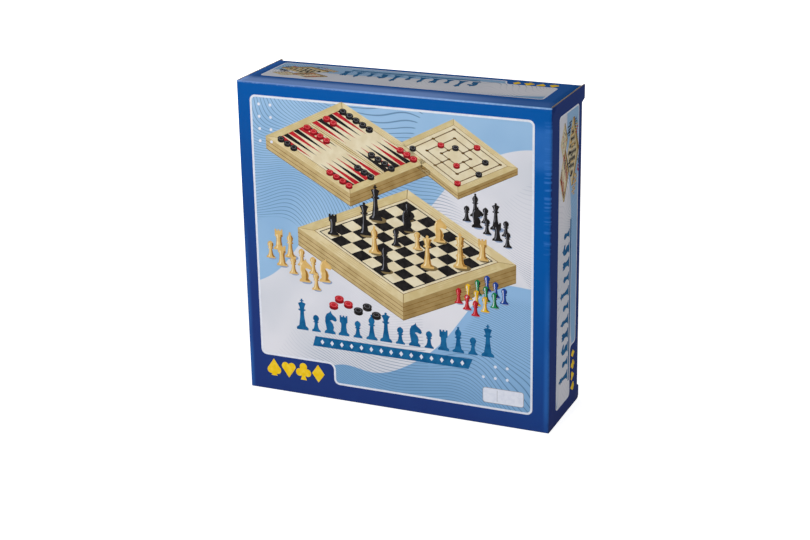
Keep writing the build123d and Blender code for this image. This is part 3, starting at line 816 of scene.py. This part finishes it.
def drawBack():
    look = backLook
    drawing, inner = framed(roundRectangle(*look["panel"], margin["corner"]), margin["line"])
    side, z = look["tile"], look["tilesAt"]
    for board, x in zip((chequers(), points24(), mill()), look["tiles"]):
        low, left = z - side / 2, x - side / 2
        drawing.add(board.mapped(quadMap(rectangle(left, low, left + side, low + side)), 4))
    x, z = look["start"]
    for k, kind in enumerate(kinds):
        colour = "black" if k % 2 else "boxwood"
        man(drawing, kind, (x + look["step"] * k, z), tallOf("back", kind), colour, 5)
    drawing.fill("teal", rectangle(*look["band"]), 4)
    suits(drawing, *look["suits"], "teal", 4)
    return drawing, inner


noise.seed_set(carton["rippleSeed"])


def swell(point):
    # the walls bulge a little and the laminate ripples; continuous over the whole cover
    x, y, z = point
    across, up, back = x / (width / 2), z / height, (y - frontY) / carton["depth"]
    bell = max(0.0, 1 - across * across)
    rise = max(0.0, 4 * up * (1 - up))
    run = max(0.0, min(1.0, 4 * back * (1 - back) + 0.15))
    inwards, bow = carton["inset"], carton["bow"]
    ripple = carton["ripple"] * noise.noise_vector(Vector(point) * carton["rippleScale"])
    dy = (1 - min(1.0, max(0.0, back))) * (inwards - bow * bell * rise + ripple.y)
    dx = across * (-inwards + bow * rise * run + ripple.x * run)
    dz = up * (-inwards + bow * bell * run + ripple.z * run)
    return Vector((x + dx, y + dy, z + dz))


faces = {
    # a drawing's point and its lift to a point of the carton
    "front": lambda u, v, w: Vector((u * mm, frontY - w, v * mm)),
    "top": lambda u, v, w: Vector((u * mm, frontY + v * mm, height + w)),
    "right": lambda u, v, w: Vector((width / 2 + w, frontY + u * mm, v * mm)),
    "left": lambda u, v, w: Vector((-width / 2 - w, frontY + u * mm, v * mm)),
    "back": lambda u, v, w: Vector((-u * mm, backY + w, v * mm)),
}


def gridCut(mesh, step):
    # cuts every face at regular planes, so that a flat panel can take a curve
    for index in range(3):
        values = [vertex.co[index] for vertex in mesh.verts]
        low, high = min(values), max(values)
        normal = Vector([float(k == index) for k in range(3)])
        count = int((high - low) / step)
        for k in range(1, count + 1):
            place = normal * (low + (high - low) * k / (count + 1))
            everything = mesh.verts[:] + mesh.edges[:] + mesh.faces[:]
            bmesh.ops.bisect_plane(mesh, geom=everything, dist=1e-7, plane_co=place, plane_no=normal)


def linked(name, data):
    thing = bpy.data.objects.new(name, data)
    bpy.context.scene.collection.objects.link(thing)
    return thing


def finishMesh(mesh, name, materials, body):
    data = bpy.data.meshes.new(name)
    mesh.to_mesh(data)
    mesh.free()
    for material in materials:
        data.materials.append(material)
    piece = linked(name, data)
    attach(piece, body)
    return piece


def layPrint(name, shapes, place, materials, body, warp=None):
    # shapes become thin closed plates, their tops lifted by layer; a warped face is cut to a grid first
    mesh = bmesh.new()
    order = list(materials)
    outward = (place(0, 0, 1) - place(0, 0, 0)).normalized()
    for colour, layer, loop in shapes:
        lift = carton["inkLift"] + layer * carton["lift"]
        face = mesh.faces.new([mesh.verts.new(place(u, v, lift)) for u, v in loop])
        face.normal_update()
        if face.normal.dot(outward) < 0:
            face.normal_flip()
        face.material_index = order.index(colour)
    bmesh.ops.triangulate(mesh, faces=mesh.faces[:], quad_method="BEAUTY", ngon_method="EAR_CLIP")
    bmesh.ops.dissolve_degenerate(mesh, dist=1e-8, edges=mesh.edges[:])
    if warp:
        gridCut(mesh, carton["cell"])
    grown = bmesh.ops.extrude_face_region(mesh, geom=mesh.faces[:], use_keep_orig=True)["geom"]
    moved = [item for item in grown if isinstance(item, bmesh.types.BMVert)]
    bmesh.ops.translate(mesh, verts=moved, vec=-carton["plate"] * outward)
    copies = [item for item in grown if isinstance(item, bmesh.types.BMFace)]
    bmesh.ops.reverse_faces(mesh, faces=copies)
    bmesh.ops.recalc_face_normals(mesh, faces=mesh.faces[:])
    if warp:
        for vertex in mesh.verts:
            vertex.co = warp(vertex.co)
    return finishMesh(mesh, name, [materials[key] for key in order], body)


def makeRowsTree():
    # rows of thin plates in the x, z plane, facing -y; every other one can be left out
    tree = bpy.data.node_groups.new("plateRows", "GeometryNodeTree")
    sockets = {
        "Int": ("Columns", "Rows", "Sides"), "Bool": ("Chequered",), "Material": ("Material",),
        "Float": ("Start X", "Start Z", "Step X", "Step Z", "Half Width", "Half Height", "Turn", "Thickness"),
    }
    for kind, names in sockets.items():
        for name in names:
            tree.interface.new_socket(name, in_out="INPUT", socket_type="NodeSocket" + kind)
    tree.interface.new_socket("Geometry", in_out="OUTPUT", socket_type="NodeSocketGeometry")
    given = {socket.name: Wire(tree, socket) for socket in tree.nodes.new("NodeGroupInput").outputs}

    def shape(kind, settings=None, **inputs):
        named = {name.replace("_", " "): value for name, value in inputs.items()}
        return addNode(tree, "GeometryNode" + kind, settings, named)

    def vector(**parts):
        return addNode(tree, "ShaderNodeCombineXYZ", None, parts)

    index = shape("InputIndex")
    row = ((index + 0.5) / given["Columns"]).floor()
    column = index - row * given["Columns"]
    place = vector(X=given["Start X"] + column * given["Step X"], Z=given["Start Z"] + row * given["Step Z"])
    points = shape("Points", Count=given["Columns"] * given["Rows"], Position=place)
    odd = ((column + row) / 2).fraction() > 0.25
    points = shape("DeleteGeometry", Geometry=points, Selection=odd * given["Chequered"])
    outline = shape("MeshCircle", {"fill_type": "NGON"}, Vertices=given["Sides"], Radius=1.0)
    outline = shape("Transform", Geometry=outline, Rotation=vector(Z=given["Turn"]))
    size = vector(X=given["Half Width"], Y=given["Half Height"], Z=1.0)
    outline = shape("Transform", Geometry=outline, Scale=size, Rotation=(math.pi / 2, 0, 0))
    top = shape("ExtrudeMesh", {"mode": "FACES"}, Mesh=outline, Offset_Scale=given["Thickness"])
    plate = tree.nodes.new("GeometryNodeJoinGeometry")
    for part in (shape("FlipFaces", Mesh=outline), top):
        tree.links.new(part.socket, plate.inputs[0])
    plate = shape("MergeByDistance", Geometry=Wire(tree, plate.outputs[0]), Distance=1e-7)
    laid = shape("InstanceOnPoints", Points=points, Instance=plate)
    real = shape("RealizeInstances", Geometry=laid)
    done = shape("SetMaterial", Geometry=real, Material=given["Material"])
    tree.links.new(done.socket, tree.nodes.new("NodeGroupOutput").inputs[0])
    return tree


rowsTree = makeRowsTree()


def rowsMesh(settings):
    # the plates of one set of rows, as a plain mesh
    holder = linked("rows", bpy.data.meshes.new("rows"))
    rows = holder.modifiers.new("rows", "NODES")
    rows.node_group = rowsTree
    for item in rowsTree.interface.items_tree:
        if item.in_out == "INPUT":
            rows[item.identifier] = settings[item.name]
    holder.update_tag()
    ready = holder.evaluated_get(bpy.context.evaluated_depsgraph_get())
    plain = bpy.data.meshes.new_from_object(ready)
    holder.modifiers.remove(rows)
    bpy.data.objects.remove(holder)
    return plain


def layRows(name, sets, place, body, layer=1, warp=None):
    # rows of plates laid on a face
    mesh = bmesh.new()
    materials = []
    thick = carton["plate"]
    lift = carton["inkLift"] + layer * carton["lift"]
    for settings in sets:
        known = len(mesh.faces)
        mesh.from_mesh(rowsMesh({"Turn": 0.0, "Chequered": False, "Thickness": thick, **settings}))
        if settings["Material"] not in materials:
            materials.append(settings["Material"])
        mesh.faces.ensure_lookup_table()
        for face in mesh.faces[known:]:
            face.material_index = materials.index(settings["Material"])
    for vertex in mesh.verts:
        x, y, z = vertex.co
        vertex.co = place(x / mm, z / mm, lift - thick - y)
        if warp:
            vertex.co = warp(vertex.co)
    bmesh.ops.recalc_face_normals(mesh, faces=mesh.faces[:])
    return finishMesh(mesh, name, materials, body)


def gridOf(shape, start, step, count, colour):
    # one set of rows from values in millimetres
    columns, rows = count
    return {
        "Columns": columns, "Rows": rows, "Start X": start[0] * mm, "Start Z": start[1] * mm,
        "Step X": step[0] * mm, "Step Z": step[1] * mm, "Material": inkFinishes[colour],
        "Half Width": shape["half"][0] * mm, "Half Height": shape["half"][1] * mm, "Sides": shape["sides"],
    }


dot = {"half": (1.4, 1.4), "sides": 20}
diamond = {"half": (1.9, 2.6), "sides": 4}
printedRows = {
    # starts, steps and counts along a face, in millimetres
    "front": [
        gridOf(dot, (-127.8, 280), (11.5, -11.4), (2, 4), "white"),
        gridOf(dot, (111.1, 46.7), (-11.4, 0), (3, 1), "white"),
        gridOf(dot, (111.1, 57.8), (-11.4, 0), (2, 1), "white"),
        gridOf(diamond, (-72, 57), (10, 0), (15, 1), "white"),
    ],
    "back": [gridOf(dot, (-121, 272), (11.5, -11.4), (3, 4), "white")],
}

wallSweep = {
    "uses": "zy", "middle": (0.15, frontY + 0.049), "half": (-0.136, 0.028), "low": 1.4, "hills": 14,
    "lined": 0,
}
sweeps = {
    # the axes a field runs along, its middle and half size (negative to mirror it), how far off the
    # middle its second sweep lies, the scale of its hills, 1 for a lined second sweep, where its noise starts
    "front": {"uses": "xz", "middle": (0, 0.15), "half": (0.136, 0.135), "low": 0.72, "hills": 9,
              "lined": 1, "seed": (0.3, 1.7, 4.1)},
    "top": {"uses": "xy", "middle": (0, frontY + 0.052), "half": (0.136, 0.026), "low": 1.2, "hills": 14,
            "lined": 0, "seed": (2.2, 0.4, 1.3)},
    "right": {**wallSweep, "seed": (5.1, 3.2, 0.5)},
    "left": {**wallSweep, "seed": (3.4, 1.2, 2.6)},
    "back": {"uses": "xz", "middle": (0, 0.15), "half": (-0.131, 0.134), "low": 0.45, "hills": 9,
             "lined": 1, "seed": (4.0, 2.8, 0.9)},
}


def usedInks(drawing):
    return {colour: inkFinishes[colour] for colour in sorted({shape[0] for shape in drawing.shapes})}


def layFaces():
    layouts = {
        "front": drawFront(), "top": drawWall("top"), "right": drawWall("side"), "left": drawWall("side"),
        "back": drawBack(),
    }
    for name, (drawing, inner) in layouts.items():
        body, warp = ("carton_tray", None) if name == "back" else ("carton_cover", swell)
        place = faces[name]
        field = {"field": makeFieldInk("fieldInk_" + name, sweeps[name])}
        layPrint(name + "Field", [("field", 1, inner)], place, field, body, warp)
        layPrint(name + "Print", drawing.shapes, place, usedInks(drawing), body, warp)
        if name in printedRows:
            layRows(name + "Rows", printedRows[name], place, body, 5, warp)
        print("print laid on", name, len(drawing.shapes), "shapes")


layFaces()


def coverSlot(face):
    # 0 print, 1 raw cut edge, 2 inside of the board
    place, normal = face.calc_center_median(), face.normal
    hair, board, fold = carton["hair"], carton["board"], carton["fold"]
    reach = abs(place.x) - width / 2                # 0 on the outside of a side wall
    rise = abs(place.z - height / 2) - height / 2   # 0 on the outside of the top and bottom
    atEnd = place.z > height - hair or place.z < hair
    if atEnd and reach > -board - hair and abs(normal.z) > 0.9 and place.y > frontY + fold:
        return 1
    if reach > -hair or place.y < frontY + hair or atEnd:
        return 0
    if place.y > rimY + hair or (place.y > rimY - hair and rise > -board - hair):
        return 1
    outside = normal.dot(Vector((place.x, 0, place.z - height / 2)).normalized()) > 0 or normal.y < -0.3
    if place.y < frontY + fold and outside and max(reach, rise) > -fold:
        return 0
    if place.y > rimY - carton["roll"] and reach > -carton["rolledWall"]:
        return 0
    return 2


def makeCover():
    mesh = bmesh.new()
    mesh.from_mesh(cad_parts["carton_cover"].data)
    bmesh.ops.remove_doubles(mesh, verts=mesh.verts[:], dist=1e-6)
    bmesh.ops.dissolve_limit(mesh, angle_limit=0.002, verts=mesh.verts[:], edges=mesh.edges[:])
    gridCut(mesh, carton["cell"])
    bmesh.ops.triangulate(mesh, faces=mesh.faces[:])
    for face in mesh.faces:
        face.material_index = coverSlot(face)
    for vertex in mesh.verts:
        vertex.co = swell(vertex.co)
    finishes = [makeBorderInk(), makeBoardFinish("rawEdge", fluted=True), makeBoardFinish("boardInside")]
    piece = finishMesh(mesh, "cartonCover", finishes, "carton_cover")
    piece.data.shade_smooth()
    piece.data.set_sharp_from_angle(angle=math.radians(35))
    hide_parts("carton_cover")


makeCover()
print("cover made")


def makeWood(name, codes, grain, rough=0.42, coat=0.15):
    # codes: early wood, late wood, streak; grain stretches the figure along the piece
    finish = Finish(name, Coat_Weight=coat, Coat_Roughness=0.25)
    figure = finish.noise(9, 3, finish.turned(scale=grain), 1.2)
    growth = (figure * 34).sine()
    fine = finish.noise(260, 4, finish.turned(scale=tuple(v * v for v in grain)))
    colour = finish.mix(growth.ramp(-0.3, 0.95) * 0.6, *codes[:2])
    colour = finish.mix(fine.ramp(0.5, 0.75) * 0.45, colour, codes[2])
    finish.set(Base_Color=colour, Roughness=rough + fine * 0.14)
    finish.bump(fine, 0.1 * mm)
    return finish.material


pine = ("e3c48d", "cfa766", "b98d4e")
woods = {
    "alongX": makeWood("pineAlongX", pine, (0.12, 1, 1)),
    "alongZ": makeWood("pineAlongZ", pine, (1, 1, 0.12)),
    "panel": makeWood("birchPanel", ("ecd9ad", "dfc693", "cfb279"), (1, 1, 0.16), 0.4),
    "ply": makeWood("plywood", ("dcc091", "cba974", "a98654"), (0.2, 1, 1), 0.55, coat=0.0),
}


def makeLacquer(name, codes, grain=0.5):
    finish = Finish(name, Coat_Weight=0.55, Coat_Roughness=0.08)
    streak = finish.noise(120, 4, finish.turned(scale=(0.15, 1, 1)))
    worn = finish.noise(300, 3).ramp(0.6, 0.8)
    colour = finish.mix(streak.ramp(0.35, 0.7) * grain + worn * 0.1, *codes)
    finish.set(Base_Color=colour, Roughness=0.22 + streak * 0.12)
    finish.bump(streak, 0.1 * mm)
    return finish.material


lacquers = {
    "natural": makeLacquer("naturalLacquer", ("dcae66", "b9823c"), 0.8),
    "black": makeLacquer("blackLacquer", ("17161a", "2b292d")),
    "red": makeLacquer("redLacquer", ("a5141d", "c2262c")),
    "yellow": makeLacquer("yellowLacquer", ("e3b21a", "c9930f")),
    "green": makeLacquer("greenLacquer", ("12633a", "1c7a4b")),
    "blue": makeLacquer("blueLacquer", ("1c3488", "2a47a0")),
}
diceLook = {
    "side": 10 * mm, "gap": 0.4 * mm, "white": ("efece2", "dfdacb"), "pip": "141414",
    "pipReach": 0.37, "pipDepth": 0.49,      # shares of a side, from the middle of a die
}


def makeDiceFinish():
    # white, with dark pips wherever the surface lies in a dimple
    finish = Finish("diceFinish", Roughness=0.25, Coat_Weight=0.3)
    low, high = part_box("dice")
    side, gap = diceLook["side"], diceLook["gap"]
    x, y, z = finish.axes()
    along = (((x - (low.x - gap / 2)) / (side + gap)).fraction() - 0.5) * (side + gap)
    parts = (abs(along), abs(y - (low.y + high.y) / 2), abs(z - (low.z + high.z) / 2))
    inner = [part < diceLook["pipReach"] * side for part in parts]
    deep = parts[0].most(parts[1]).most(parts[2]) < diceLook["pipDepth"] * side
    pip = ((inner[0] + inner[1] + inner[2]) > 1.5) * deep
    cloud = finish.noise(200, 3)
    finish.set(Base_Color=finish.mix(pip, finish.mix(cloud * 0.4, *diceLook["white"]), diceLook["pip"]))
    finish.bump(cloud, 0.05 * mm)
    return finish.material


trayLook = {
    "ink": ("22377a", "0d4f9e"), "from": 20 * mm, "to": 270 * mm, "lean": 0.2, "mottle": 0.12,
    "worn": "7ea3d0", "bare": ("d6d3cb", "c3bfb4"),
    "fold": 2.4 * mm,        # outer radius of its folds
    "wearWidth": 1.5 * mm,
    "rim": 0.2 * mm,         # bare edge
    "rough": 0.75, "printedRough": 0.33,
}


def makeTrayFinish():
    # printed outside; bare board inside and on the cut edges
    finish = Finish("trayFinish", **gloss)
    look = trayLook
    fold, half = look["fold"], (trayBox[1] - trayBox[0]) / 2
    x, y, z = finish.axes()
    reaches = (abs(x) - half.x, y - backY, abs(z - height / 2) - half.z)
    bent = [(reach + fold).most(0.0) for reach in reaches]
    out = (bent[0] ** 2.0 + bent[1] ** 2.0 + bent[2] ** 2.0) > (fold - carton["board"] / 2) ** 2
    out = out * (y > trayBox[0].y + look["rim"])
    fibre = finish.noise(380, 5, finish.turned(scale=(1, 1, 3)))
    paper = finish.mix(fibre * 0.7, *look["bare"])
    printed = finish.mix((z + x * look["lean"]).ramp(look["from"], look["to"]), *look["ink"])
    onFold = bent[0].least(bent[1]).most(bent[1].least(bent[2])).ramp(fold - look["wearWidth"], fold)
    rub = finish.noise(300, 3).ramp(0.4, 0.7)
    printed = finish.mix(onFold * (0.25 + rub * 0.5), printed, look["worn"])
    printed = finish.mix((finish.noise(60, 3) - 0.5) * look["mottle"], printed, borderLook["mottleAndSheen"])
    finish.set(Base_Color=finish.mix(out, paper, printed), Coat_Weight=out * gloss["Coat_Weight"],
               Roughness=look["rough"] - out * (look["rough"] - look["printedRough"]))
    finish.bump(fibre, 0.1 * mm)
    return finish.material


def dressNodes():
    # the finish of each node, or of each node whose name starts so
    dress = {
        "carton_tray": makeTrayFinish(), "case_floor": woods["ply"], "dice": makeDiceFinish(),
        "case_feet": woods["alongZ"], "case_divider": woods["alongZ"], "backgammon_bar": woods["alongZ"],
        "case_crosspiece": woods["alongX"], "natural_": lacquers["natural"],
    }
    for prefix in ("case_wall_", "backgammon_rail_", "ludo_rim_", "chess_lid_rail_"):
        for side, wood in (("left", "alongZ"), ("right", "alongZ"), ("top", "alongX"), ("bottom", "alongX")):
            dress[prefix + side] = woods[wood]
    for board in ("backgammon", "ludo", "chess"):
        dress[board + "_panel"] = woods["panel"]
    for colour in ("black", "red", "yellow", "green", "blue"):
        dress[colour + "_"] = lacquers[colour]
    for node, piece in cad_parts.items():
        finish = next((dress[start] for start in dress if node.startswith(start)), None)
        if finish:
            piece.data.materials.clear()
            piece.data.materials.append(finish)


dressNodes()
print("nodes dressed")

boards = {
    "inset": 4,              # from the edge of a panel to its print, in millimetres
    "chessEdge": 7,          # from there to the squares
    "chessLine": 1.4,
    "barWidth": 14.6,        # left free under the bar of the backgammon board
    "pointShare": 0.4,       # length of a point over the board's height
    "pointGap": 1,
}


def boardSpan(node):
    # the size of a panel's print
    low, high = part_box(node)
    return ((high.x - low.x) / mm - 2 * boards["inset"], (high.z - low.z) / mm - 2 * boards["inset"])


def panelPlace(node):
    # millimetres from the low left corner of a panel's print
    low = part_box(node)[0]
    edge = boards["inset"]
    return lambda x, z, w: Vector((low.x + (edge + x) * mm, low.y - w, low.z + (edge + z) * mm))


def boardPlace(node):
    # unit square to the playing side of a panel
    place, (wide, tall) = panelPlace(node), boardSpan(node)
    return lambda s, t, w: place(s * wide, t * tall, w)


def boardEdge():
    # the line round the squares
    board = Drawing()
    wide, tall = boardSpan("chess_panel")
    rings = []
    for gap in (boards["chessEdge"] - boards["chessLine"], boards["chessEdge"]):
        s, t = gap / wide, gap / tall
        rings.append(rectangle(s, t, 1 - s, 1 - t))
    board.band("black", *rings)
    return board


def chessSquares():
    edge = boards["chessEdge"]
    cell = tuple((part - 2 * edge) / 8 for part in boardSpan("chess_panel"))
    square = {"half": tuple(part / math.sqrt(2) for part in cell), "sides": 4}
    rows = gridOf(square, tuple(edge + part / 2 for part in cell), cell, (8, 8), "black")
    return [{**rows, "Turn": math.pi / 4, "Chequered": True}]


def backgammonPoints():
    # triangles with three corners on a circle: 1.5 radii tall, 0.866 radii from middle to side
    wide, tall = boardSpan("backgammon_panel")
    table = (wide - boards["barWidth"]) / 2
    step = table / 6
    reach = boards["pointShare"] * tall
    point = {"half": ((step / 2 - boards["pointGap"]) / math.sin(math.pi / 3), reach / 1.5), "sides": 3}
    foot = boards["pointGap"] + reach / 3
    sets = []
    for side in (0, 1):
        for upper in (0, 1):
            for odd in (0, 1):
                x = side * (table + boards["barWidth"]) + (odd + 0.5) * step
                start = (x, tall - foot if upper else foot)
                rows = gridOf(point, start, (2 * step, 0), (3, 1), "red" if odd == upper else "black")
                sets.append({**rows, "Turn": -math.pi / 2 if upper else math.pi / 2})
    return sets


ludoLook = {
    # in cells, of which the board has this many
    "cells": 12.4, "spot": 0.42, "fill": 0.36, "yard": 3.9, "yardRing": (1.75, 1.68), "yardSpot": 0.62,
}


def boardLudo():
    # the old cross of circles, with a ring of four in each corner and a run home for each colour
    board = Drawing()
    cell = 1 / ludoLook["cells"]

    def at(spot):
        return (0.5 + spot[0] * cell, 0.5 + spot[1] * cell)

    def ring(spot, colour):
        board.fill("black", circle(at(spot), cell * ludoLook["spot"]), 1)
        board.fill(colour, circle(at(spot), cell * ludoLook["fill"]), 2)

    arm = [(-1, 5), (0, 5), (1, 5)] + [(side, y) for y in (1, 2, 3, 4) for side in (-1, 1)]
    for k, colour in enumerate(("red", "gold", "green", "blue")):
        turn = Matrix.Rotation(math.pi / 2 * k, 2)
        for spot in arm:
            ring(turn @ Vector(spot), colour if spot == (1, 5) else "white")
        for y in (1, 2, 3, 4):
            ring(turn @ Vector((0, y)), colour)
        yard = turn @ Vector((ludoLook["yard"], ludoLook["yard"]))
        board.band("black", *(circle(at(yard), cell * reach, 48) for reach in ludoLook["yardRing"]), 1)
        for dx in (-ludoLook["yardSpot"], ludoLook["yardSpot"]):
            for dy in (-ludoLook["yardSpot"], ludoLook["yardSpot"]):
                ring(yard + Vector((dx, dy)), colour)
    return board


for name, node, drawing, body in (
    ("chessEdge", "chess_panel", boardEdge(), "chess_lid"),
    ("ludoPrint", "ludo_panel", boardLudo(), "ludo_board"),
):
    layPrint(name, drawing.shapes, boardPlace(node), usedInks(drawing), body)
for name, node, rows, body in (
    ("chessSquares", "chess_panel", chessSquares(), "chess_lid"),
    ("backgammonPoints", "backgammon_panel", backgammonPoints(), "backgammon_tray"),
):
    layRows(name, rows, panelPlace(node), body)
print("boards printed")


def backdropSeen(tree):
    # 1 for what the camera, a gloss or a clear piece sees of the backdrop
    camera, glossy, clear = (addNode(tree, "ShaderNodeLightPath", output=f"Is {ray} Ray")
                             for ray in ("Camera", "Glossy", "Transmission"))
    return camera.most(glossy).most(clear)


floorLook = {
    "paper": "d2d2d2", "reach": 6,
    "glow": 0.85,            # what the camera sees of the floor's own light close to the carton
    "near": 0.25, "far": 0.9,
}


def makeFloor():
    finish = Finish("floorPaper", Roughness=0.9)
    finish.tree.nodes.remove(finish.shader)
    paper = finish.node("BsdfDiffuse", None, {"Color": floorLook["paper"]})
    x, y, z = finish.axes()
    far = (x ** 2.0 + y ** 2.0).ramp(floorLook["near"] ** 2, floorLook["far"] ** 2)
    seen = finish.mix(far, (floorLook["glow"],) * 3 + (1.0,), (1.0, 1.0, 1.0, 1.0))
    glow = finish.node("Emission", None, {"Color": seen, "Strength": backdropSeen(finish.tree)})
    both = finish.node("AddShader", None, {0: paper, 1: glow})
    finish.tree.links.new(both.socket, finish.tree.nodes["Material Output"].inputs["Surface"])
    mesh = bmesh.new()
    bmesh.ops.create_grid(mesh, x_segments=8, y_segments=8, size=floorLook["reach"])
    data = bpy.data.meshes.new("floor")
    mesh.to_mesh(data)
    mesh.free()
    data.materials.append(finish.material)
    floor = linked("floor", data)


lamps = {
    # where each hangs, what it aims at, its size and its power
    "keyLamp": ((-0.6, -1.95, 0.75), (0, 0, 0.15), (1.1, 1.1), 32),
    "topLamp": ((-0.1, 0.5, 1.9), (0, 0, 0.1), (1.2, 1.0), 4),
    "sideLamp": ((1.95, 0.15, 0.5), (0, 0, 0.15), (1.0, 1.0), 9.5),
    "rearLamp": ((-1.65, 1.35, 0.45), (0, 0, 0.15), (1.0, 1.0), 26),
}


def makeLamps():
    for name, (place, aim, size, power) in lamps.items():
        data = bpy.data.lights.new(name, "AREA")
        data.shape = "RECTANGLE"
        data.size, data.size_y = size
        data.energy = power
        lamp = linked(name, data)
        lamp.location = place
        lamp.rotation_euler = (Vector(aim) - Vector(place)).to_track_quat("-Z", "Y").to_euler()


worldLight = 0.12            # the backdrop's light on the carton; seen straight on it is 1


def makeWorld():
    world = bpy.data.worlds.new("studio")
    bpy.context.scene.world = world
    world.use_nodes = True
    tree = world.node_tree
    backdrop = tree.nodes["Background"]
    backdrop.inputs["Color"].default_value = (1, 1, 1, 1)
    feed(tree, backdrop.inputs["Strength"], backdropSeen(tree) * (1 - worldLight) + worldLight)


view = {
    "azimuth": 23.529, "elevation": 19.864, "roll": -1.008, "lens": 77.59, "sensor": 36,
    "place": Vector((1.9996 * width, -4.4901 * width + frontY, 2.2327 * width)),
}


def makeCamera():
    azimuth, elevation, roll = (math.radians(view[key]) for key in ("azimuth", "elevation", "roll"))
    level = Vector((math.sin(azimuth), -math.cos(azimuth), 0))
    back = level * math.cos(elevation) + Vector((0, 0, math.sin(elevation)))
    right = Vector((math.cos(azimuth), math.sin(azimuth), 0))
    up = back.cross(right)
    rolledRight = right * math.cos(roll) + up * math.sin(roll)
    rolledUp = -right * math.sin(roll) + up * math.cos(roll)
    data = bpy.data.cameras.new("camera")
    data.lens = view["lens"]
    data.sensor_width = view["sensor"]
    camera = linked("camera", data)
    turn = Matrix((rolledRight, rolledUp, back)).transposed().to_4x4()
    camera.matrix_world = Matrix.Translation(view["place"]) @ turn
    bpy.context.scene.camera = camera


makeFloor()
makeLamps()
makeWorld()
makeCamera()
bpy.context.scene.view_settings.view_transform = "Standard"
print("stage ready")
